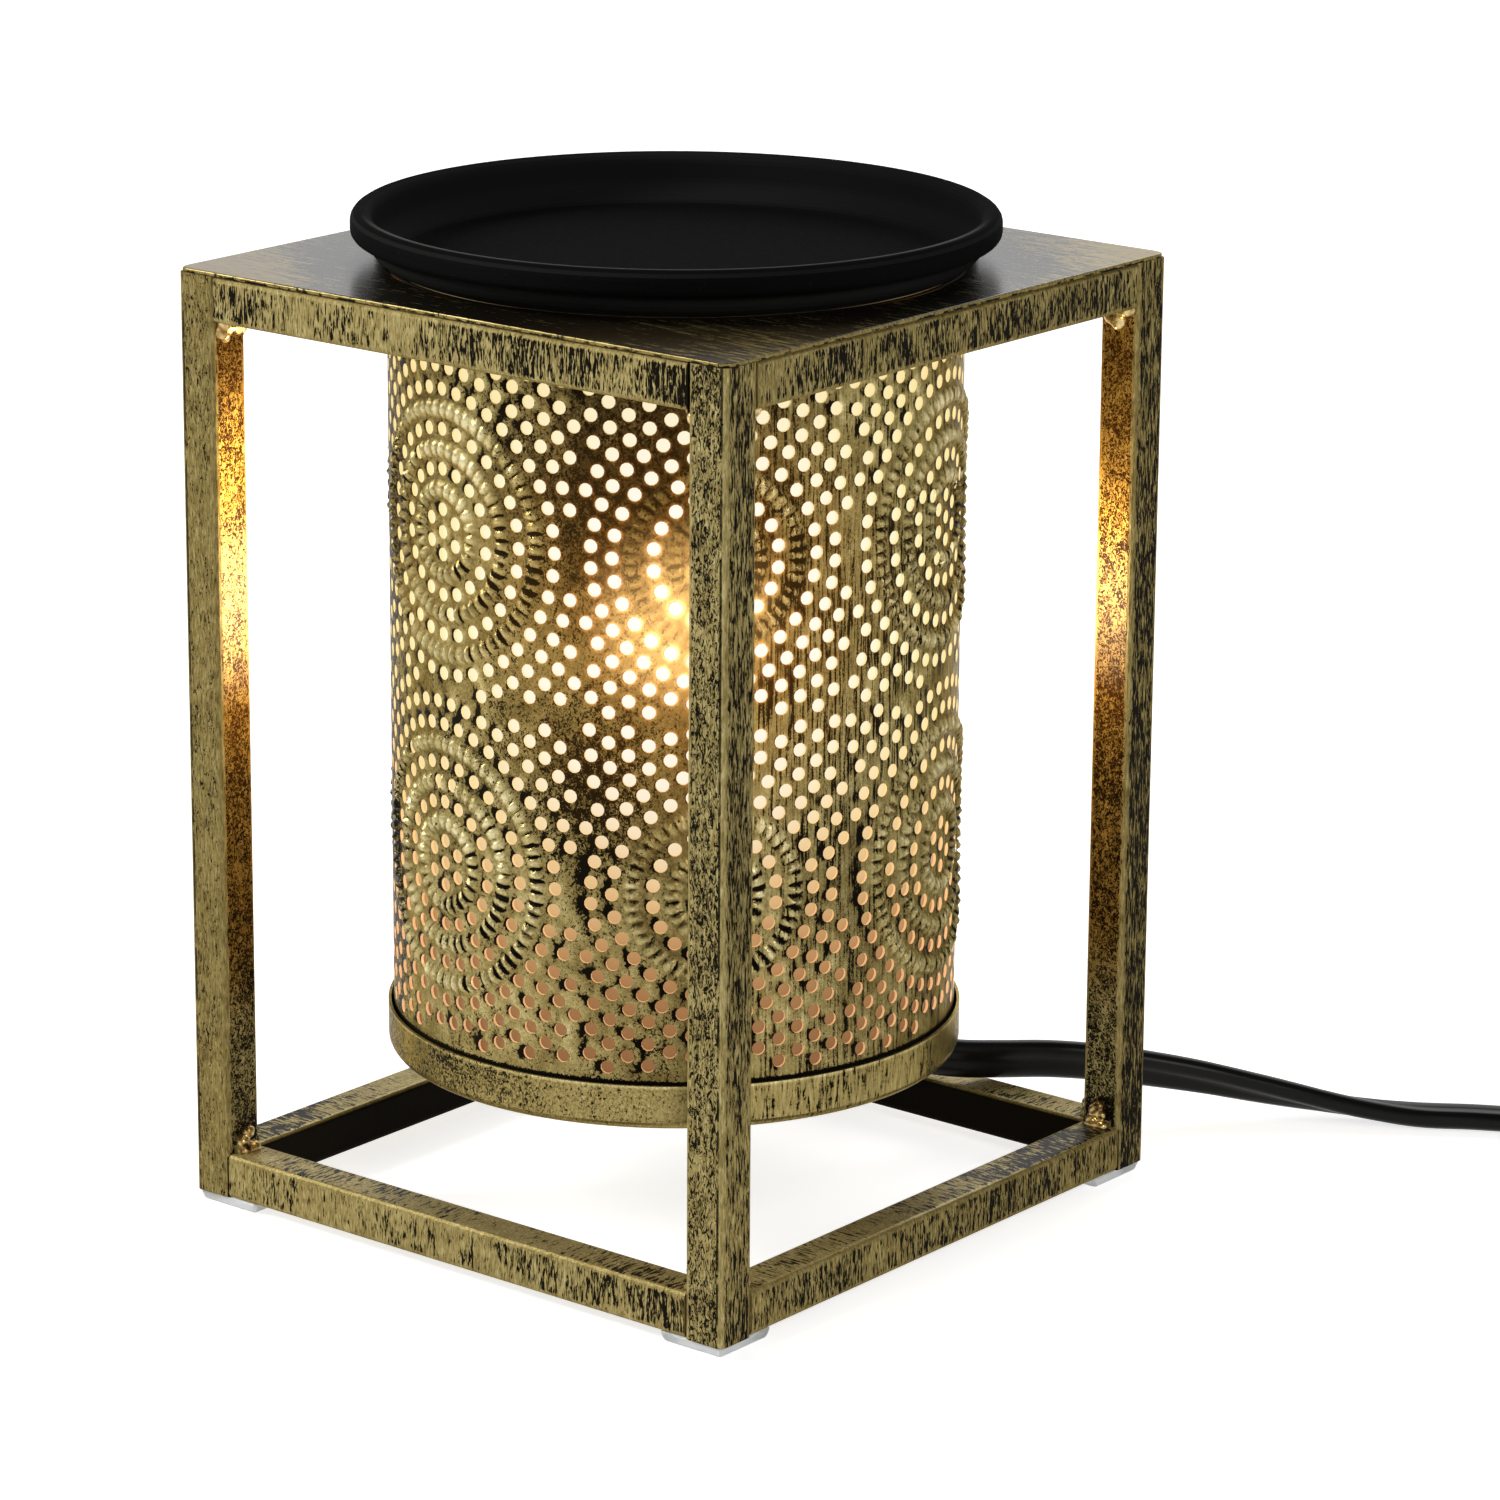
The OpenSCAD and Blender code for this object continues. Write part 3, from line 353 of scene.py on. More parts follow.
LINE_FADE = 0.00012
BLACK_PAINT = (0.0100, 0.0080, 0.0048)
GOLD_RAMP = ((0.12, (0.040, 0.028, 0.010)), (0.30, (0.160, 0.116, 0.037)), (0.5, (0.275, 0.214, 0.078)),
             (0.70, (0.430, 0.352, 0.150)), (0.95, (0.740, 0.650, 0.370)))
GOLD_TINT = (0.5, 0.42, 0.30)

# the square tubes, in metres from the middle of the frame: inner faces, centre line, half the width
TUBE_IN, TUBE_MID, TUBE_HALF = 0.0520, 0.056, 0.004
POST_FROM, SKIN = 0.05198, 0.0588  # where the posts begin, and all that lies at the outer faces
# the rails' heights: centre lines, top of the low ones, underside of the high ones
LOW_MID, HIGH_MID, LOW_TOP, HIGH_FOOT = 0.006, 0.1632, 0.0101, 0.1591

# centres of the painted lamp glow seen through the shade, and of the painted lamplight on the two outer posts,
# in millimetres
GLOW_AT = (32.6, -37.4, 117.5)
LEFT_POST_LIT, RIGHT_POST_LIT = (-52, -56, 110), (56, 52, 106)
# the two places where lamplight through the gap under the dish is painted as a glow
GAP_RIGHT, GAP_LEFT = (49.9, 1.7, 168.0), (-24.9, -43.2, 168.0)


def gold_surface(g, gold, tone, bump_h, metal, rough, bump=0.3, extra=None, gloss=None,
                 ground=BLACK_PAINT, **more):
    """Gold of a changing tone where gold is 1, over the black ground where it is 0."""
    base = g.mix(gold, ground, g.ramp(tone, *GOLD_RAMP))
    if extra:
        base = extra(base)
    normal = g.bump(g.add(g.mul(gold, 0.6), g.mul(bump_h, 0.7)), bump, 0.0002)
    r = g.step(gold, 0, 1, rough + 0.12, rough)
    if gloss:
        r = g.sub(r, gloss)
    return g.surface(g.principled(color=base, rough=r, normal=normal, metal=g.mul(gold, metal), spec=0.02,
                                  tint=GOLD_TINT, **more))


def frame_material():
    """Antique gold over black on the tubes: fine upright strokes, stippled on the posts' front faces."""
    g = Graph("gold_frame")
    x, y, z = g.xyz()
    nx, ny, nz = g.normal()
    ax, ay = g.abs(x), g.abs(y)
    post = g.mul(g.above(ax, POST_FROM), g.above(ay, POST_FROM))
    rail = g.sub(1.0, post)
    fore = g.step(g.abs(ny), 0.55, 0.8)
    plus_x = g.step(nx, 0.5, 0.8)
    inward = g.step(g.outward(x, y, nx, ny), -0.045, -0.03, 1, 0)
    flat_top = g.mul(g.step(nz, 0.7, 0.9), g.below(z, 0.02))
    front_post = g.mul(post, fore)

    # the brush marks of each kind of face
    stroke = g.noise((1450, 1450, 210), 4, 0.62, 0.7)
    dash = g.noise((2600, 2600, 520), 3, 0.65, 0.5)
    stipple = g.noise((1550, 1550, 640), 4, 0.66, 1.8)
    streak = g.noise((2200, 2200, 300), 4, 0.68, 0.8)
    crackle = g.noise((1500, 1500, 1250), 4, 0.68, 1.6)
    patch = g.noise((75, 75, 42), 2, 0.5)
    mid = g.noise((330, 330, 190), 2, 0.6)
    smudge = g.noise(48, 2, 0.5)
    lines = g.add(g.mul(stroke, 0.5), g.mul(dash, 0.5))
    detail = g.mix(g.mul(front_post, 0.85), g.grey(lines), g.grey(stipple))
    detail = g.mix(g.mul(post, plus_x, 0.6), detail, g.grey(streak))
    detail = g.mix(g.mul(post, inward, 0.9), detail, g.grey(crackle))
    across = g.mix(g.above(ay, POST_FROM), g.grey(g.noise((330, 1700, 300), 4, 0.66, 0.4)),
                   g.grey(g.noise((1700, 330, 300), 4, 0.66, 0.4)))
    detail = g.mix(g.mul(flat_top, 0.9), detail, across)

    # how much gold each place keeps
    v = g.add(g.sub(g.xyz(detail)[0], 0.5), g.mul(g.sub(patch, 0.5), g.add(g.mul(rail, 0.16), 0.10)),
              g.mul(g.sub(mid, 0.5), 0.12))
    burnt = g.mul(g.step(z, 0.0105, 0.0175, 1, 0), post, inward)
    v = g.add(v, g.mul(g.step(x, -0.02, 0.03, 0.018, -0.016), rail),
              g.mul(front_post, g.step(x, -0.05, 0.05, 0.045, -0.022)),
              g.mul(plus_x, post, g.sub(g.mul(y, -0.25), 0.034)),
              g.mul(plus_x, rail, g.sub(g.mul(y, -0.15), 0.002)),
              g.mul(rail, g.step(z, 0.011, 0.02, 0.022, 0.0)), g.mul(burnt, -0.09),
              g.mul(flat_top, g.sub(g.mul(g.sub(smudge, 0.5), 0.38), 0.006)), g.mul(post, inward, -0.022))

    # worn edges, the seams of the front corner, and painted lamplight on the faces that the lamp lights
    edge = tube_edge(g, post)
    level = g.max(g.below(z, LOW_TOP), g.above(z, HIGH_FOOT))
    seam = g.mul(g.above(ay, SKIN), g.line(ax, TUBE_IN, 0.00022), g.above(z, HIGH_FOOT),
                 g.add(0.35, g.mul(g.above(x, 0.0), 0.65)))
    filled = g.mul(g.above(ax, SKIN), g.line(ay, TUBE_IN, 0.0006), level)
    groove = g.mul(post, g.above(ay, 0.0591), g.line(ax, 0.0590, 0.00017),
                   g.step(g.noise((200, 200, 150), 3, 0.6), 0.42, 0.5))
    bead = g.mul(g.step(ax, 0.0592, 0.0594), g.step(ay, 0.0592, 0.0594))
    # painted lamplight on two posts' inner faces: more gold there, and a glow
    hot = g.add(g.mul(g.near(LEFT_POST_LIT, 20, 0.8), 0.36), g.mul(g.near(RIGHT_POST_LIT, 17, 0.8), 0.22))
    v = g.add(v, g.mul(edge, 0.75), g.mul(filled, 0.08), g.mul(bead, 0.06), g.mul(hot, inward, 0.10))
    gold = g.mul(g.step(v, -0.046, -0.004), back_black(g), g.sub(1.0, g.max(seam, g.mul(groove, 0.85))))
    # tone: the corner bead a little lighter, a painted highlight; the low rails' upward faces lighter, a
    # painted sheen; the +x faces darker toward the back, a painted shade
    tone = g.add(g.mul(dash, 1.1), g.mul(mid, 0.3), -0.17, g.mul(bead, 0.05), g.mul(flat_top, 0.12),
                 g.mul(front_post, g.step(x, -0.05, 0.05, -0.13, 0.02)),
                 g.mul(plus_x, g.sub(g.mul(y, -0.6), 0.05)))
    # painted lamplight on the posts' inner faces: their black turned brown high up, and a warm tint above the
    # lowest few centimetres
    ground = g.mix(g.mul(post, inward, g.step(z, 0.070, 0.092), 0.85), BLACK_PAINT, (0.042, 0.018, 0.006))
    warm_lamplight = g.mul(post, inward, g.step(z, 0.028, 0.050), 0.9)
    lit = g.mul(hot, inward, g.add(0.35, g.mul(gold, 0.65)))
    return gold_surface(
        g, gold, tone, dash, 0.5, 0.34, gloss=g.mul(edge, -0.8), ground=ground,
        extra=lambda base: g.mix(warm_lamplight, base, g.mix(1.0, base, (1.24, 0.87, 0.44), "MULTIPLY")),
        glow=g.mix(lit, (0, 0, 0), (1.0, 0.82, 0.56)), power=1.6,
        coat=g.mul(flat_top, 0.26), coat_rough=0.25)


def tube_edge(g, post):
    """More gold along the long corners of the square tubes."""
    x, y, z = g.xyz()

    def at_corner(off):
        return g.step(g.abs(g.sub(off, TUBE_HALF)), 0.0003, 0.0012, 1, 0)

    near_x, near_y = (at_corner(g.abs(g.sub(g.abs(c), TUBE_MID))) for c in (x, y))
    level = at_corner(g.min(g.abs(g.sub(z, LOW_MID)), g.abs(g.sub(z, HIGH_MID))))
    upright = g.mul(near_x, near_y, post)
    along = g.mul(g.max(near_x, near_y), level, g.sub(1.0, post))
    return g.mul(g.max(upright, along), 0.2)


def back_black(g):
    """No gold on the inward faces of the back bottom rails."""
    x, y, z = g.xyz()
    low = g.step(z, 0.0093, 0.0098, 1, 0)
    nx, ny = g.normal()[:2]
    in_y = g.mul(g.step(g.abs(g.sub(y, TUBE_IN)), 0.0006, 0.0009, 1, 0), g.step(ny, -0.4, -0.2, 1, 0))
    in_x = g.mul(g.step(g.abs(g.add(x, TUBE_IN)), 0.0006, 0.0009, 1, 0), g.step(nx, 0.2, 0.4))
    return g.sub(1.0, g.mul(g.max(in_y, in_x), low))


def plate_material():
    """The plate's top, brushed along the front edge, with less gold near the dish, partly a painted reflection
    of the black dish, and a painted glow of lamplight at the gap under the dish.
    """
    g = Graph("gold_plate")
    x, y, z = g.xyz()
    top = g.step(g.normal()[2], 0.5, 0.8)
    r = g.radius(x, y)
    stroke = g.noise((150, 1700, 300), 4, 0.62, 0.2)
    fine = g.noise((700, 3000, 300), 3, 0.65)
    edge_strokes = g.noise((1900, 1900, 260), 3, 0.62, 0.3)
    patch = g.noise((26, 40, 30), 2, 0.5)
    # less gold near the dish and more toward the corners; the dark near the dish is partly a painted
    # reflection of the black dish
    away = g.step(r, 0.054, 0.080, -0.11, 0.12)
    toward_front = g.sub(x, y)
    front = g.step(toward_front, 0.070, 0.112, 0.0, -0.15)
    top_v = g.add(g.mul(g.sub(stroke, 0.5), 0.7), g.mul(g.sub(fine, 0.5), 0.35),
                  g.mul(g.sub(patch, 0.5), 0.35), g.add(away, front))
    chips = g.noise((420, 420, 900), 3, 0.7)
    chip = g.mul(g.step(z, 0.1674, 0.1677, 0.5, 0), g.step(chips, 0.5, 0.54))
    side_v = g.sub(g.mul(g.sub(edge_strokes, 0.36), 0.9), chip)
    v = g.add(g.mul(top_v, top), g.mul(side_v, g.sub(1.0, top)))
    gold = g.step(g.sub(v, g.step(r, 0.0505, 0.0508, 0.6, 0)), -0.05, 0.06)
    tone = g.add(g.mul(stroke, 0.5), g.mul(fine, 0.4))
    # a painted glow of lamplight at the hole's edge, at the two gaps
    gaps = g.max(g.near(GAP_RIGHT, 10, 0.5), g.near(GAP_LEFT, 4, 0.5))
    leak = g.mul(g.step(r, 0.0501, 0.0504, 1, 0), gaps)
    near_front = g.step(toward_front, 0.062, 0.100)
    right_end = g.step(g.add(x, y), 0.045, 0.085, 1.0, 0.80)
    coat = g.mul(top, g.sub(0.85, g.mul(near_front, 0.68)), right_end, g.step(r, 0.0506, 0.0520))
    return gold_surface(g, gold, tone, stroke, 0.6, 0.30, 0.2, coat=coat, coat_rough=0.22,
                        ground=g.mix(near_front, BLACK_PAINT, (0.030, 0.021, 0.009)),
                        glow=g.mix(leak, (0, 0, 0), (0.16, 0.075, 0.03)), power=1.0)


def weld_material():
    """Shiny weld metal under the paint, burnt brown, its orange partly painted lamplight."""
    g = Graph("weld_metal")
    n = g.noise(900, 3, 0.6)
    m = g.add(g.noise(420, 2, 0.5, 0.8), g.step(g.xyz()[2], 0.1, 0.11, 0.13, 0.14))
    # the orange and gold stops stand partly for painted lamplight
    color = g.ramp(m, (0.38, (0.012, 0.009, 0.005)), (0.46, (0.16, 0.085, 0.022)), (0.56, (0.42, 0.28, 0.10)),
                   (0.70, (0.66, 0.50, 0.22)))
    return g.surface(g.principled(color=color, metal=0.85, rough=g.step(n, 0.3, 0.7, 0.16, 0.34),
                                  normal=g.bump(n, 0.25, 0.0002)))


def cup_material():
    """The base cup: flecked at the left, stroked upright at the right, with more gold and a painted highlight
    along its rim.
    """
    g = Graph("gold_cup")
    x, y, z = g.xyz()
    fleck = g.noise((2300, 2300, 1700), 4, 0.72, 0.8)
    brush = g.noise((700, 700, 1900), 3, 0.6, 0.4)
    strokes = g.noise((1700, 1700, 240), 4, 0.66, 0.5)
    patch = g.noise((55, 55, 60), 2, 0.5)
    fleck = g.xyz(g.mix(g.mul(g.right_side(x, y), 0.85), g.grey(fleck), g.grey(strokes)))[0]
    left = g.step(g.sub(g.mul(x, -0.8), g.mul(y, 0.6)), -0.02, 0.03, 0.03, -0.02)
    v = g.add(g.mul(g.sub(fleck, 0.5), 0.95), g.mul(g.sub(brush, 0.5), 0.3), g.mul(g.sub(patch, 0.5), 0.35),
              left, g.step(z, 0.0352, 0.0358, 0, 0.08), g.step(z, 0.0280, 0.0300, 0.05, 0.0))
    gold = g.step(v, -0.095, -0.035)
    # the rim's top lighter, a painted highlight
    tone = g.add(0.46, g.mul(g.sub(fleck, 0.5), 1.15), g.mul(g.sub(patch, 0.5), 0.4), g.mul(left, 2.0),
                 g.step(z, 0.0353, 0.0358, 0, 0.22))
    return gold_surface(g, gold, tone, fleck, 0.75, 0.24)


gold_frame, gold_plate, gold_cup = frame_material(), plate_material(), cup_material()


def plastic(name, color, rough, grain, bump, spec=0.2):
    """Moulded plastic of slightly uneven colour and grain."""
    g = Graph(name)
    n = g.noise(grain, 3, 0.6)
    tint = g.mix(g.noise(90, 2), [c * 0.85 for c in color], [min(1, c * 1.15) for c in color])
    return g.surface(g.principled(color=tint, rough=rough, spec=spec,
                                  normal=g.bump(n, bump, 0.0001)))


cord_mat = plastic("cord_pvc", (0.0062, 0.0058, 0.0054), 0.28, 700, 0.05, 0.14)
black_mat = plastic("black_moulded", (0.012, 0.012, 0.013), 0.45, 2600, 0.25)


def metal(name, color, rough, scratch=900):
    """Bare metal, finely scratched."""
    g = Graph(name)
    n = g.noise(scratch, 4, 0.6)
    return g.surface(g.principled(color=g.mix(n, [c * 0.8 for c in color], color), metal=1.0,
                                  rough=g.step(n, 0.3, 0.7, rough, rough + 0.18),
                                  normal=g.bump(n, 0.1, 0.0001)))


steel_mat = metal("zinc_steel", (0.62, 0.62, 0.60), 0.3)
brass_mat = metal("brass", (0.78, 0.60, 0.28), 0.25, (300, 2000, 2000))


def dish_material():
    """Satin black paint, finely speckled, with a painted highlight on the crest, a painted sheen on the roll
    and painted light on the walls.
    """
    g = Graph("dish_black")
    x, y, z = g.xyz()
    nx, ny, nz = g.normal()
    r = g.radius(x, y)
    n = g.noise(1500, 4, 0.7)
    fleck = g.step(g.noise(2400, 2, 0.5), 0.68, 0.76)
    front = g.step(g.sub(g.mul(x, 0.63), g.mul(y, 0.78)), 0.006, 0.030)
    right_painted_shade = g.step(g.add(g.mul(x, 0.78), g.mul(y, 0.63)), 0.0, 0.045, 0.0, 0.75)
    facing = g.outward(x, y, nx, ny)
    # painted light: a highlight along the front of the crest, a sheen on the roll's outer top, a lighter lower
    # outer wall, and an inner wall lit on the left and in painted shade on the right
    crest = g.mul(g.step(g.abs(g.sub(r, 0.0536)), 0.0001, 0.0007, 1, 0), g.step(z, 0.1764, 0.1768), front)
    wall = g.mul(g.step(z, 0.1712, 0.1724, 1, 0), g.above(r, 0.0485), g.step(facing, 0.004, 0.02))
    inner = g.mul(g.step(facing, -0.02, -0.006, 1, 0), g.step(z, 0.1680, 0.1692))
    roll = g.mul(g.step(g.abs(g.sub(nz, 0.50)), 0.08, 0.3, 1, 0), g.step(r, 0.0542, 0.0546),
                 g.step(z, 0.174, 0.175))
    color = g.mix(fleck, (0.0068, 0.0068, 0.0067), (0.021, 0.021, 0.020))
    color = g.mix(wall, color, (0.030, 0.030, 0.029))
    color = g.mix(inner, color, g.mix(right_painted_shade, (0.0180, 0.0180, 0.0177), (0.0065, 0.0065, 0.0064)))
    color = g.mix(roll, color, (0.0165, 0.0165, 0.016))
    color = g.mix(g.mul(crest, 0.9), color, (0.13, 0.128, 0.124))
    return g.surface(g.principled(color=color, rough=g.step(n, 0.3, 0.7, 0.66, 0.78),
                                  spec=0.004, normal=g.bump(n, 0.35, 0.00012)))


dish_mat = dish_material()


def shade_material():
    """Brushed antique gold: black left in the valleys, beside the holes and in upright streaks, with painted
    shade beside the holes and in the valleys, painted highlights on the crests, the hole lips and the upper
    arcs, and painted lamplight round the holes near the lamp.
    """
    g = Graph("gold_shade")
    x, y, z = g.xyz()
    # the first attribute: above 0 black paint beside the holes and in the flute valleys, partly a painted
    # shade; below 0 a painted highlight on the hole lips and the upper arcs
    black_shade_and_highlight, rise, rim, halo = (g.attribute(name) for name in ("black_shade_and_highlight", "rise", "rim", "halo"))
    black, lip = g.max(black_shade_and_highlight, 0.0), g.max(g.mul(black_shade_and_highlight, -1.0), 0.0)
    right_side = g.right_side(x, y)
    left_end = g.step(g.add(g.mul(x, -0.77), g.mul(y, -0.64)), 0.0445, 0.0488, 0, -0.11)
    shaded = g.near((27.4, -41.5, 143.0), 34, 0.8)
    streaky = g.near((48.2, -11.1, 100.0), 32, 0.6)
    lower = g.near((16.0, -47.0, 88.0), 26, 0.8)
    pale_foot = g.near((-16, -48, 52), 52)

    # how much gold each place keeps
    streak = g.noise((1900, 1900, 110), 4, 0.65, 0.3)
    wide = g.noise((60, 60, 36), 2, 0.5)
    cloud = g.noise((210, 210, 170), 2, 0.5)
    crackle = g.noise((2300, 2300, 2000), 4, 0.74, 0.7)
    blot = g.noise((900, 900, 700), 3, 0.7, 0.8)
    stipple = g.add(g.mul(blot, 0.45), g.mul(crackle, 0.55))
    brushed = g.add(g.mul(streak, 0.65), g.mul(crackle, 0.35))
    side = g.xyz(g.mix(right_side, g.grey(stipple), g.grey(brushed)))[0]
    black_patchiness = g.sub(g.add(g.mul(crackle, 1.0), g.mul(blot, 0.9)), 0.68)
    cup_seam = g.step(g.add(z, g.mul(crackle, 0.0012)), 0.0370, 0.0373, -0.5, 0)
    v = g.add(g.mul(g.sub(side, 0.5), 1.2), g.mul(g.sub(wide, 0.5), 0.26), g.mul(black, black_patchiness, -1.0),
              g.mul(rise, 0.05), g.mul(shaded, -0.095), g.mul(lower, -0.10), cup_seam,
              g.step(z, 0.1668, 0.1671, 0, -0.6), left_end)
    v = g.add(v, g.mul(g.near(GLOW_AT, 40, 0.8), -0.035),
              g.mul(streaky, g.sub(g.sub(streak, 0.5), 0.035), 1.1))
    gold = g.step(v, -0.118, -0.062)
    # tone: crests lighter, partly rubbed gold and partly a painted highlight; the black places darker where
    # gold remains, a painted shade; the lips lighter, a painted highlight
    tone = g.add(0.5, g.mul(g.sub(crackle, 0.5), 0.85), g.mul(g.sub(cloud, 0.5), 0.55),
                 g.mul(g.sub(wide, 0.5), 0.4), g.mul(g.sub(rise, 0.25), 0.38), g.mul(black, -0.22),
                 g.mul(lip, g.step(z, 0.085, 0.105, 0.17, 0.34)), g.mul(pale_foot, 0.13),
                 g.mul(right_side, 0.04), g.mul(shaded, -0.37), g.mul(lower, -0.13),
                 g.mul(right_side, g.sub(streak, 0.5), 0.9))

    # painted lamplight: a glow round the holes in front of the lamp, and a warm glow on the walls of all the
    # holes
    rims = g.mul(g.near(GLOW_AT, 44, 1.0), g.math("POWER", halo, 2.2), 0.42)
    glow = g.mul(g.near(GLOW_AT, 25, 1.5), g.add(0.16, g.mul(halo, 0.55)))
    core = g.mul(g.near(GLOW_AT, 20, 1.2), g.add(0.27, g.mul(halo, 0.73)))
    shine = g.mix(g.mul(g.near(GLOW_AT, 54, 1.1), 0.034), (0, 0, 0), (0.85, 0.40, 0.06))
    shine = g.mix(g.math("ADD", rims, glow, clamp=True), shine, (0.68, 0.235, 0.030))
    shine = g.mix(core, shine, (1.0, 0.63, 0.23))
    shine = g.mix(g.math("ADD", 0.66, g.mul(gold, 0.42), clamp=True), (0, 0, 0), shine)
    wall_glow = g.mix(g.step(z, 0.055, 0.105), (0.25, 0.135, 0.068), (0.16, 0.13, 0.075))
    wall_glow = g.mix(g.near(GLOW_AT, 22, 1.0), wall_glow, (0.55, 0.50, 0.38))

    # the hole walls in their pale gold, and the metal near the lamp tinted orange, a painted lamplight
    def warmed(base):
        tinted = g.mix(1.0, base, (1.0, 0.80, 0.55), "MULTIPLY")
        return g.mix(rim, g.mix(g.near(GLOW_AT, 46, 0.7), base, tinted), (0.80, 0.70, 0.45))

    return gold_surface(g, g.max(gold, rim), tone, crackle, 0.68, 0.26, 0.35, warmed,
                        glow=g.mix(rim, shine, wall_glow), power=2.1)


def linear(r, g, b):
    """A colour of 0 to 255 as Blender's linear one."""
    return tuple((c / 255 / 12.92) if c <= 10 else ((c / 255 + 0.055) / 1.055) ** 2.4 for c in (r, g, b))


# colours of the liner's painted glow, from its foot (0) to its top (1)
LINER_RAMP = ((0.0, (128, 86, 52)), (0.12, (156, 111, 70)), (0.19, (188, 142, 94)), (0.26, (226, 188, 134)),
              (0.34, (244, 216, 163)), (0.42, (250, 230, 178)), (0.56, (253, 245, 195)),
              (0.78, (253, 240, 184)), (0.92, (250, 230, 172)), (1.0, (248, 222, 160)))


def liner_material():
    """Frosted cream liner, the lamp's light through it painted as a glow: brown at the foot, cream higher up,
    white at the lamp.
    """
    g = Graph("liner_lit")
    x, y, z = g.xyz()
    soft = g.noise(60, 2, 0.5)
    h = g.add(z, g.mul(g.sub(soft, 0.5), 0.012))
    t = g.node("MapRange", h, 0.036, 0.168, 0.0, 1.0)
    color = g.ramp(t, *((at, linear(*c)) for at, c in LINER_RAMP))
    color = g.mix(g.near(GLOW_AT, 50, 0.7), color, (1, 1, 0.98))
    nx, ny = g.normal()[:2]
    inside = g.step(g.outward(x, y, nx, ny), -0.03, -0.01, 1, 0)
    # the inner face glows dark brown toward the top, a painted shade
    color = g.mix(g.mul(inside, g.step(z, 0.132, 0.150), 0.85), color, (0.10, 0.06, 0.025))
    wave = g.noise(900, 3, 0.6)
    return g.surface(g.principled(color=g.mix(wave, (0.085, 0.062, 0.035), (0.12, 0.088, 0.05)), rough=0.85,
                                  spec=0.1, normal=g.bump(wave, 0.2, 0.0001), glow=color, power=0.97))


def ceramic_material():
    """Unglazed white ceramic."""
    g = Graph("steatite")
    n = g.noise(700, 3, 0.6)
    return g.surface(g.principled(color=g.mix(n, (0.74, 0.71, 0.64), (0.82, 0.79, 0.72)), rough=0.55,
                                  normal=g.bump(n, 0.15, 0.0001)))


def lit_lens_material():
    """The lit lamp's pressed glass front, brightest over the capsule."""
    g = Graph("lamp_lens_lit")
    x, y = g.xyz()[:2]
    n = g.noise(700, 2, 0.5)
    r = g.radius(x, y)
    hot = g.step(r, 0.004, 0.021, 1.0, 0.0)
    return g.surface(g.principled(color=g.mix(n, (0.80, 0.74, 0.60), (0.90, 0.84, 0.70)), rough=0.22,
                                  through=0.3, normal=g.bump(n, 0.3, 0.0003), power=0.9,
                                  glow=g.mix(hot, (0.80, 0.50, 0.20), (1.0, 0.95, 0.82))))


def foot_material():
    """Clear silicone pad, slightly cloudy."""
    g = Graph("clear_silicone")
    n = g.noise(500, 3, 0.6)
    return g.surface(g.principled(color=g.mix(n, (0.82, 0.83, 0.83), (0.93, 0.94, 0.94)), rough=0.28,
                                  through=0.35, ior=1.42, sub=0.2, sub_s=0.002,
                                  normal=g.bump(n, 0.15, 0.0001)))


def sleeve_material():
    """Glass-fibre sleeve, a fine diagonal braid."""
    g = Graph("fibre_sleeve")
    wave = g.node("TexWave", named={"Vector": g.pos, "Scale": 900.0, "Distortion": 1.0}, out=1,
                  bands_direction="DIAGONAL")
    return g.surface(g.principled(color=g.mix(wave, (0.55, 0.52, 0.44), (0.78, 0.75, 0.68)), rough=0.8,
                                  normal=g.bump(wave, 0.4, 0.0002)))


gold_shade, liner_mat = shade_material(), liner_material()
ceramic_mat, foot_mat, sleeve_mat = ceramic_material(), foot_material(), sleeve_material()
tie_mat = plastic("tie_black", (0.016, 0.016, 0.017), 0.55, 1600, 0.3)
blade_mat = metal("nickel_blades", (0.70, 0.68, 0.62), 0.22, (300, 2000, 2000))
mirror_mat = metal("lamp_mirror", (0.86, 0.85, 0.82), 0.16, (200, 200, 200))

nodes = frame["nodes"]
FINISH = {
    "post": gold_frame, "top_rail": gold_frame, "bottom_rail": gold_frame, "weld": gold_frame,
    "top_plate": gold_plate, "foot": foot_mat, "wax_dish": dish_mat, "shade": gold_shade,
    "diffuser": liner_mat, "base_cup": gold_cup, "shade_clips": steel_mat, "floor": steel_mat,
    "lamp_bracket": steel_mat, "lamp_holder": ceramic_mat, "holder_contacts": brass_mat,
    "holder_screws": steel_mat, "holder_nuts": steel_mat, "lamp_wires": sleeve_mat,
    "bulb_base": ceramic_mat, "bulb_pins": steel_mat, "bulb_reflector": mirror_mat,
    "bulb_lens": lit_lens_material(), "bulb_capsule": lit_lens_material(), "cord": cord_mat,
    "cord_gland": black_mat, "gland": black_mat, "coil_tie": tie_mat, "switch": black_mat,
    "switch_contacts": brass_mat, "switch_screws": steel_mat, "plug_body": black_mat,
    "plug_blades": blade_mat,
}
for name, ob in nodes.items():
    key = max((k for k in FINISH if name.startswith(k)), key=len)
    ob.data.materials.clear()
    ob.data.materials.append(FINISH[key])

# ---------------------------------------------------------------- cord pieces
run_path = catmull(RUN, 6)
cord_run = swept("cord_from_boot", run_path, twin_outline(), cord_mat)
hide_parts("cord_run")

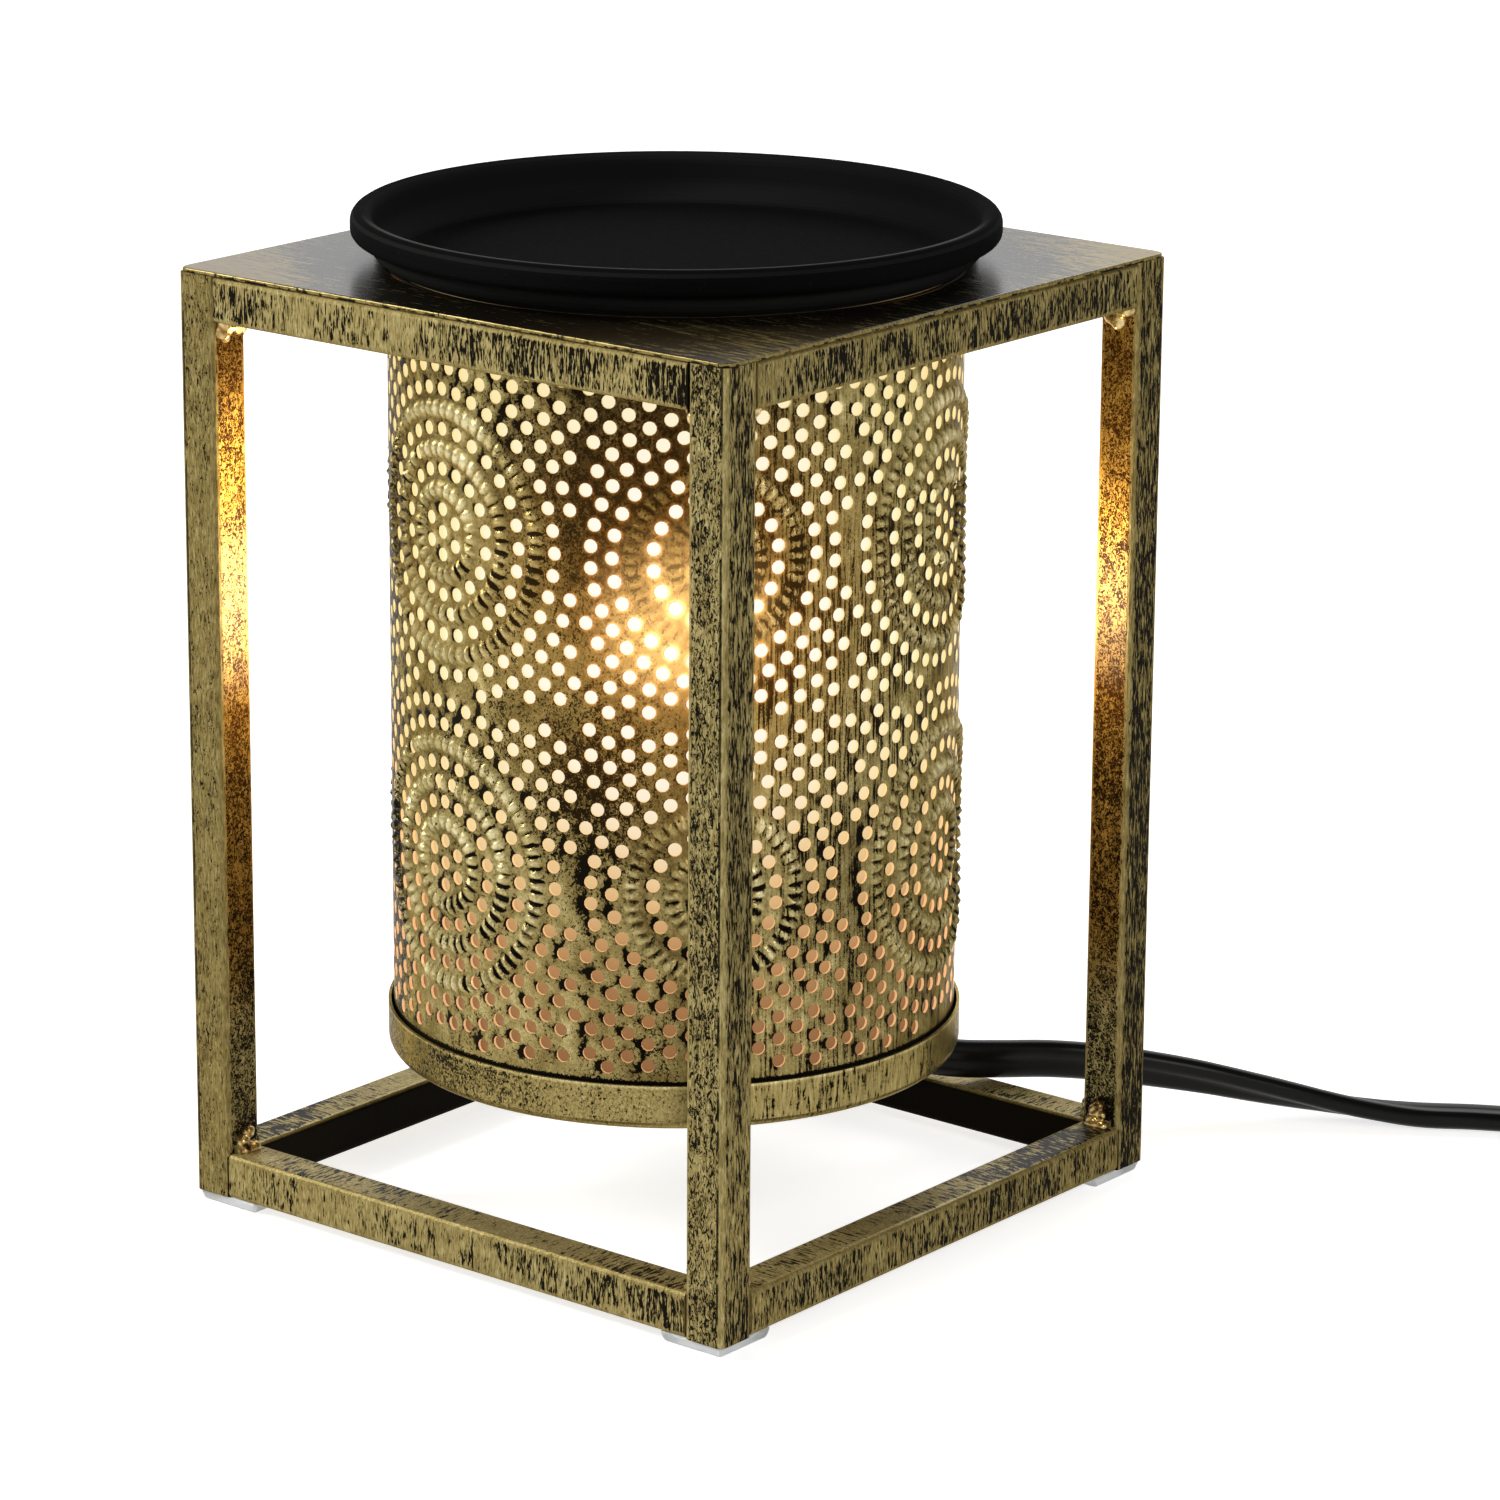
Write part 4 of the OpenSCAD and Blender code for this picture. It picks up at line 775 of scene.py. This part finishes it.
z_in, z_drop = RUN[-1][2], COIL_Z[0] - RUN[-1][2]
part = (LEAD_L - CORD_W) / 5 * way
lead_start, lead_end = switch_out + Vector((0, 0, z_in)), coil_first - CORD_W * way + Vector((0, 0, COIL_Z[0]))
drop = Vector((0, 0, z_drop))
lead = [(lead_start, 90), (lead_start + part, 82), (lead_start + 2 * part + 0.3 * drop, 62),
        (lead_end - 2 * part - 0.3 * drop, 28), (lead_end - part, 8), (lead_end, 0)]
tpart, tdrop = TAIL_L / 6 * tail_way, Vector((0, 0, PLUG_T / 2 - COIL_Z[1]))
t0 = tail_start + Vector((0, 0, COIL_Z[1]))
tail = [(t0, 0), (t0 + tpart, 6), (t0 + 2 * tpart + 0.2 * tdrop, 24), (t0 + 3 * tpart + 0.5 * tdrop, 45),
        (plug_in - 2 * tpart - 0.2 * tdrop, 66), (plug_in - tpart, 84), (plug_in, 90)]
coil = [coil_point(i / 3) for i in range(COIL_STEPS * 3 + 1)]
lead, tail = ([(*p, a) for p, a in pts] for pts in (lead, tail))
rest_path = catmull(lead, 4) + coil + catmull(tail, 4)
cord_rest = swept("cord_to_plug", rest_path, twin_outline(7), cord_mat)
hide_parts("cord_lead", "cord_coil", "cord_tail")

# ---------------------------------------------------------------- welds
# height, direction, size, reach up the post and half width of the lumps at the low and the high rails
LUMPS = ((10, 1, 1.35, 3.4, 1.5), (159.2, -1, 1.5, 2.9, 2.3))
LUMPS_A_CORNER, LUMP_FROM, POST_MID = 11, 51.9, -56


def weld_lumps(mat):
    """Lumpy fillets run into the corners where the rails meet the posts, over the plain beads."""
    rnd = random.Random(5)
    bm = bmesh.new()
    for q in range(4):
        turn = Matrix.Rotation(math.radians(90 * q), 4, "Z")
        for side in (-1, 1):
            for level, up_down, big, tall, wide in LUMPS:
                for i in range(LUMPS_A_CORNER):
                    r = rnd.uniform(0.6, 1.1) * big
                    out = rnd.uniform(0.0, 1.0) * big
                    lift = rnd.uniform(0.0, tall) if out < 0.8 else 0.1
                    c = (side * (LUMP_FROM - out), POST_MID + rnd.uniform(-wide, wide),
                         level + up_down * (0.1 + lift))
                    bmesh.ops.create_icosphere(bm, subdivisions=2, radius=r * MM,
                                               matrix=turn @ Matrix.Translation([k * MM for k in c]))
    me = bpy.data.meshes.new("weld_lumps")
    bm.to_mesh(me)
    bm.free()
    ob = place("weld_lumps", me, mat, smooth=80)
    mod = ob.modifiers.new("melt", "REMESH")
    mod.mode, mod.voxel_size = "VOXEL", 0.0003
    soft = ob.modifiers.new("smooth", "SMOOTH")
    soft.factor, soft.iterations = 0.5, 3
    bpy.context.view_layer.update()
    ob.data = bpy.data.meshes.new_from_object(ob.evaluated_get(bpy.context.evaluated_depsgraph_get()))
    ob.modifiers.clear()
    ob.data.shade_smooth()
    return ob


weld_lumps(weld_material())


def soften(name, width):
    """Rounds the moulded edges of a CAD node."""
    weld = nodes[name].modifiers.new("weld", "WELD")
    weld.merge_threshold = 2e-6
    flat = nodes[name].modifiers.new("flat", "DECIMATE")
    flat.decimate_type, flat.angle_limit = "DISSOLVE", math.radians(1)
    mod = nodes[name].modifiers.new("round", "BEVEL")
    mod.width, mod.segments = width * MM, 3
    mod.limit_method, mod.angle_limit = "ANGLE", math.radians(30)
    mod.use_clamp_overlap = True
    mod.harden_normals = False
    nodes[name].data.shade_smooth()
    shade = nodes[name].modifiers.new("shade", "WEIGHTED_NORMAL")
    shade.keep_sharp = False


for name in nodes:
    if name.startswith("foot"):
        soften(name, 0.6)
for name, width in (("switch_upper", 0.9), ("switch_lower", 0.9), ("switch_rocker", 0.45), ("plug_body", 0.9),
                    ("coil_tie", 0.3), ("top_plate", 0.3)):
    soften(name, width)

# ---------------------------------------------------------------- shade
# the sheet unrolled, in millimetres: s runs round the shade, z up, and SEAM is the s of its right edge
SHADE_R, SHADE_T, SHADE_Z = 49.5, 0.5, (29.5, 168.0)
HOLE_R, SIDES, SCALE_R = 1.2, 12, 50.0
COLUMN = math.tau * SCALE_R / 6
SHADE_TURN, SEAM = math.radians(-102.4), 3.5 * math.tau * SCALE_R / 6
EDGE, FIELD_Z = 4.4, (38.4, 163.6)
ROWS = (69.35, 127.4)
# radius, number and phase of the rings of holes of each kind of rosette, radii of its fluted rings
RINGS = (((0, 1, 0), (3.9, 6, 0.5), (10.85, 18, 0.5), (17.7, 28, 0), (24.55, 40, 0)),
         ((0, 1, 0), (3.9, 6, 0.5), (10.75, 18, 0.5), (17.65, 28, 0), (21.4, 36, 0.5)))
BANDS = ((7.35, 14.25, 21.1), (7.3, 14.2))
BAND_HALF, RIB, RIB_POINTS, RIB_ROWS = 1.75, 2.05, 4, (-1, -0.52, 0, 0.52, 1)
FREE_R, FREE_STEP, FREE_GAP = (28.4, 24.9), 3.6, 3.9
SEAM_W, FOLD_H = 3, 0.35
GLOW_REACH = 40  # holes this near to the lamp get finer points round their rims


def shade_holes():
    """Hole centres (s, z) on the unrolled sheet: rosettes first, then rings that fill up the rest."""
    cells, out = {}, []
    centres = [(k * COLUMN, z, k % 2) for k in range(-5, 7) for z in ROWS]

    def owner(s, z):
        near = [min(math.dist((s, z), (c[0], c[1])) for c in centres if c[2] == kind) for kind in (0, 1)]
        return 0 if near[0] - 3.4 < near[1] else 1

    def offer(s, z, gap):
        if not (SEAM - 6 * COLUMN + EDGE <= s <= SEAM - EDGE and FIELD_Z[0] <= z <= FIELD_Z[1]):
            return
        i, j = int(s // 4), int(z // 4)
        for a in (i - 1, i, i + 1):
            for b in (j - 1, j, j + 1):
                if any(math.dist((s, z), q) < gap for q in cells.get((a, b), ())):
                    return
        cells.setdefault((i, j), []).append((s, z))
        out.append((s, z))

    for level in range(5):
        for cs, cz, kind in centres:
            r, n, phase = RINGS[kind][level]
            for i in range(n):
                a = math.tau * (i + phase) / n
                s, z = cs + r * math.cos(a), cz + r * math.sin(a)
                if level < 3 or owner(s, z) == kind:
                    offer(s, z, 3.2)
    for level in range(7):
        for cs, cz, kind in centres:
            r = FREE_R[kind] + FREE_STEP * level
            n = round(math.tau * r / FREE_GAP)
            for i in range(n):
                a = math.tau * (i + 0.5 * (level % 2)) / n
                s, z = cs + r * math.cos(a), cz + r * math.sin(a)
                near = min(math.dist((s, z), (c[0], c[1])) for c in centres if c[2] == kind)
                if abs(near - r) < 0.01 and owner(s, z) == kind:
                    offer(s, z, 3.35)
    for j in range(34):
        for i in range(83):
            offer(SEAM - 6 * COLUMN + (i + 0.5 * (j % 2)) * 3.8, 38.5 + j * 3.75, 3.6)
    return out


def triangles(points):
    """Delaunay triangles of points, as rows of their own indices, all counter-clockwise."""
    res = delaunay_2d_cdt([Vector(p) for p in points], [], [], 0, 1e-5, True)
    back_to = np.array([o[0] for o in res[3]])
    tri = back_to[np.array([f for f in res[2] if len(f) == 3])]
    p = np.array(points)[tri]
    ab, ac = p[:, 1] - p[:, 0], p[:, 2] - p[:, 0]
    area = ab[:, 0] * ac[:, 1] - ac[:, 0] * ab[:, 1]
    tri[area < 0] = tri[area < 0][:, ::-1]
    return tri[abs(area) > 1e-7]


def near_rings(centres, q, s0, s1):
    """Whether a point of the unrolled sheet is in a fluted ring, or at the sheet's ends."""
    if not s0 + SEAM_W < q[0] < s1 - SEAM_W:
        return True
    for cs, cz, kind in centres:
        d = math.dist(q, (cs, cz))
        if any(abs(d - rb) < BAND_HALF + 0.15 for rb in BANDS[kind]):
            return True
    return False


def build_shade(mat):
    """The punched sheet as one mesh: points laid out flat, joined by triangles, then rolled up."""
    rnd = random.Random(11)
    cs_rows = [(k * COLUMN, cz, k % 2) for k in range(-3, 5) for cz in ROWS]
    holes = shade_holes()
    tree = KDTree(len(holes))
    for i, h in enumerate(holes):
        tree.insert((h[0], h[1], 0), i)
    tree.balance()
    s0, s1 = SEAM - 6 * COLUMN, SEAM
    pts, rise, black_shade_and_highlight, halo = [], [], [], []

    def put(s, z, h=0.0, d=0.0):
        pts.append((s, z))
        rise.append(h)
        black_shade_and_highlight.append(d)
        halo.append(max(0.0, 1 - (tree.find((s, z, 0))[2] - HOLE_R) / 1.3) ** 2)

    # round each hole: black on one side, partly a painted shade of the hole's wall, and a painted highlight on
    # the lip across from it
    for s, z in holes:
        smear, lean = rnd.uniform(0.3, 1.25), math.radians(rnd.uniform(150, 190))
        for k in range(SIDES):
            a = math.tau * (k + 0.5) / SIDES
            put(s + HOLE_R * math.cos(a), z + HOLE_R * math.sin(a), 0,
                smear * max(0, math.cos(a - lean)) ** 1.3 - max(0, math.cos(a - lean + 2.4)))
    n_hole = len(pts)
    n_s, n_z = 120, 54
    border = [(s0 + (s1 - s0) * i / n_s, SHADE_Z[0]) for i in range(n_s + 1)]
    border += [(s0 + (s1 - s0) * i / n_s, SHADE_Z[1]) for i in range(n_s + 1)]
    rows_z = [SHADE_Z[0] + (SHADE_Z[1] - SHADE_Z[0]) * j / n_z for j in range(1, n_z)]
    fold = [(s0, FOLD_H), (s1, FOLD_H), (s0 + 2.3, FOLD_H), (s1 - 2.3, FOLD_H), (s0 + 2.6, 0), (s1 - 2.6, 0)]
    for s, z in border:
        put(s, z, FOLD_H if min(s - s0, s1 - s) < 2.4 else 0)
    for s, h in fold:
        for z in rows_z:
            put(s, z, h)
    inner_pts = list(pts)
    inner_rise = list(rise)
    hot = Vector(((math.atan2(GLOW_AT[1], GLOW_AT[0]) - SHADE_TURN) * SCALE_R, GLOW_AT[2]))
    for i, (s, z) in enumerate(holes):
        if (hot - Vector((s, z))).length > GLOW_REACH:
            continue
        for k in range(SIDES):
            a = math.tau * k / SIDES
            for out in (0.28, 0.62):
                q = (s + (HOLE_R + out) * math.cos(a), z + (HOLE_R + out) * math.sin(a))
                if tree.find((*q, 0))[1] == i and not near_rings(cs_rows, q, s0, s1):
                    put(*q)
    for cs, cz, kind in cs_rows:
        for rb in BANDS[kind]:
            n = round(math.tau * rb / RIB)
            for i in range(n * RIB_POINTS):
                a = math.tau * i / (n * RIB_POINTS)
                crest = abs(math.cos(n * a / 2)) ** 0.8
                upper = max(0, math.cos(a - 1.15)) ** 2.4
                if i % RIB_POINTS == 1:
                    black_patchiness = rnd.uniform(0.1, 1.2)
                elif i == 0:
                    black_patchiness = 0.8
                wob = 0.85 + 0.15 * math.sin(i * 2.3 + cs)
                for w in RIB_ROWS:
                    r = rb + w * BAND_HALF
                    s, z = cs + r * math.cos(a), cz + r * math.sin(a)
                    if not s0 + SEAM_W < s < s1 - SEAM_W:
                        continue
                    if tree.find((s, z, 0))[2] < HOLE_R + 0.22:
                        continue
                    env = math.cos(math.pi / 2 * w) ** 0.7 if abs(w) < 1 else 0
                    # more black in the valleys on each ring's right side, partly a painted shade, and a
                    # painted highlight on its upper right arcs
                    side = 0.25 + 0.75 * max(0, math.cos(a + 0.2)) ** 0.7
                    bright = env * (0.35 + 0.65 * crest) * 0.85 * upper
                    depth = 0.95 - 0.45 * upper
                    put(s, z, env * wob * (1.05 - depth + depth * crest),
                        env * (1 - crest) * 1.9 * side * black_patchiness * (1 - 0.62 * upper) - bright)
    near = KDTree(len(pts))
    for i, p in enumerate(pts):
        near.insert((p[0], p[1], 0), i)
    near.balance()
    for j in range(60):
        for i in range(140):
            s, z = s0 + SEAM_W + (i + 0.5 * (j % 2)) * 2.28, SHADE_Z[0] + 1 + j * 2.3
            if (s < s1 - SEAM_W and z < SHADE_Z[1] - 1 and near.find((s, z, 0))[2] > 1.05
                    and tree.find((s, z, 0))[2] > HOLE_R + 0.5):
                put(s, z)
    for j in range(6):
        for i in range(34):
            s, z = s0 + 5 + i * 9.2, (31 + j * 1.3 if j < 5 else 165.2)
            if near.find((s, z, 0))[2] > 1 and tree.find((s, z, 0))[2] > HOLE_R + 0.5:
                inner_pts.append((s, z))
                inner_rise.append(0)

    def skin(points, thick, heights):
        p = np.array(points)
        a = p[:, 0] / SCALE_R + SHADE_TURN
        r = SHADE_R - thick + np.array(heights)
        return np.stack([r * np.cos(a), r * np.sin(a), p[:, 1]], 1)

    def solid(points):
        tri = triangles(points)
        ids = np.where(tri < n_hole, tri // SIDES, -1 - tri)
        return tri[~((ids[:, 0] == ids[:, 1]) & (ids[:, 1] == ids[:, 2]))]

    outer_v, inner_v = skin(pts, 0, rise), skin(inner_pts, SHADE_T, inner_rise)
    outer_f, inner_f = solid(pts), solid(inner_pts)[:, ::-1] + len(outer_v)
    base = len(outer_v)
    faces = outer_f.tolist() + inner_f.tolist()
    cut = len(faces)
    for h in range(len(holes)):
        for k in range(SIDES):
            a, b = h * SIDES + k, h * SIDES + (k + 1) % SIDES
            faces.append((a, b, base + b, base + a))
    for i in range(n_s):
        a, b = n_hole + i, n_hole + i + 1
        faces.append((b, a, base + a, base + b))
        a, b = a + n_s + 1, b + n_s + 1
        faces.append((a, b, base + b, base + a))
    ob = add("shade_punched", np.vstack([outer_v, inner_v]).tolist(), faces, mat)
    me = ob.data
    for name, values in (("black_shade_and_highlight", black_shade_and_highlight), ("rise", rise), ("halo", halo)):
        me.attributes.new(name, "FLOAT", "POINT").data.foreach_set("value", values + [0.0] * len(inner_v))
    wall = np.zeros(len(faces), np.float32)
    wall[cut:cut + len(holes) * SIDES] = 1
    me.attributes.new("rim", "FLOAT", "FACE").data.foreach_set("value", wall)
    edit(me, lambda bm: bmesh.ops.remove_doubles(bm, verts=bm.verts[:], dist=1e-6))
    me.shade_smooth()
    me.set_sharp_from_angle(angle=math.radians(62))
    return ob


shade = build_shade(gold_shade)
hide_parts("shade")

# ---------------------------------------------------------------- floor, lights and world
def backdrop():
    """White floor that shines a little to the eye and to mirrors, so that it fades into the world."""
    g = Graph("studio_floor")
    n = g.node("LightPath").node
    seen = g.max(n.outputs["Is Camera Ray"],
                 g.max(n.outputs["Is Glossy Ray"], n.outputs["Is Transmission Ray"]))
    grain = g.noise(3, 2, 0.5)
    far = g.step(g.node("VectorMath", g.pos, operation="LENGTH", out=1), 0.5, 2.2, 0.75, 0.90)
    sh = g.principled(color=g.mix(grain, (0.80, 0.80, 0.80), (0.82, 0.82, 0.82)), rough=0.9, spec=0.1,
                      glow=g.mix(seen, (0, 0, 0), g.grey(far)), power=1.0)
    return g.surface(sh)


def lamp(name, at, to, size, power, color=(1, 1, 1), seen=True):
    """A rectangular light at one point, turned to another."""
    data = bpy.data.lights.new(name, "AREA")
    data.shape, data.size, data.size_y = "RECTANGLE", size[0], size[1]
    data.energy, data.color = power, color
    ob = bpy.data.objects.new(name, data)
    scene.collection.objects.link(ob)
    z = (Vector(at) - Vector(to)).normalized()
    x = Vector((0, 0, 1)).cross(z).normalized()
    ob.matrix_world = Matrix.Translation(at) @ Matrix((x, z.cross(x), z)).transposed().to_4x4()
    ob.visible_camera = seen
    return ob


floor_me = bpy.data.meshes.new("floor")
floor_me.from_pydata([(-9, -9, 0), (9, -9, 0), (9, 9, 0), (-9, 9, 0)], [], [(0, 1, 2, 3)])
floor_me.materials.append(backdrop())
floor = bpy.data.objects.new("floor", floor_me)
scene.collection.objects.link(floor)

class World(Graph):
    """The world's nodes, built in the same way."""

    def __init__(self, name):
        scene.world = bpy.data.worlds.new(name)
        scene.world.use_nodes = True
        self.tree = scene.world.node_tree
        self.tree.nodes.clear()
        self.pos = self.node("TexCoord", out="Generated")

    def light(self, shader):
        self.put(self.tree.nodes.new("ShaderNodeOutputWorld").inputs[0], shader)


def studio_world():
    """White to the eye, and to mirrors that look level or down. Dim light from everywhere else."""
    g = World("studio")
    z = g.xyz()[2]
    n = g.node("LightPath").node
    mirror = g.max(n.outputs["Is Glossy Ray"], n.outputs["Is Transmission Ray"])
    seen = g.max(n.outputs["Is Camera Ray"], g.mul(mirror, g.step(z, 0.34, 0.62, 1.0, 0.0)))
    g.light(g.node("MixShader", seen, g.node("Background", (1, 1, 1), 0.13),
                   g.node("Background", (1, 1, 1), 1.0)))


studio_world()
lamp("key", (-0.95, -0.75, 0.85), (0, 0, 0.09), (0.45, 0.45), 14)
lamp("fill", (1.05, -0.45, 0.75), (0, 0, 0.09), (0.4, 0.5), 3.6)
lamp("rear", (-0.3, 0.9, 0.8), (0, 0, 0.09), (0.9, 0.6), 4)
# the lamp's light on the inner side of each post: middle height, length and power of a strip
STRIPS = ((0.1085, 0.022, 0.036), (0.106, 0.045, 0.050), (0.1155, 0.046, 0.060), (0.106, 0.045, 0.050))
STRIP_R, STRIP_W = 0.0512, 0.020
for k, (z, tall, power) in enumerate(STRIPS):
    a = math.radians(45 + 90 * k)
    at = Vector((math.cos(a), math.sin(a), 0)) * STRIP_R + Vector((0, 0, z))
    lamp("lamplight_%d" % k, at, at * 2 - Vector((0, 0, z)), (STRIP_W, tall), power, (1, 0.79, 0.46), False)
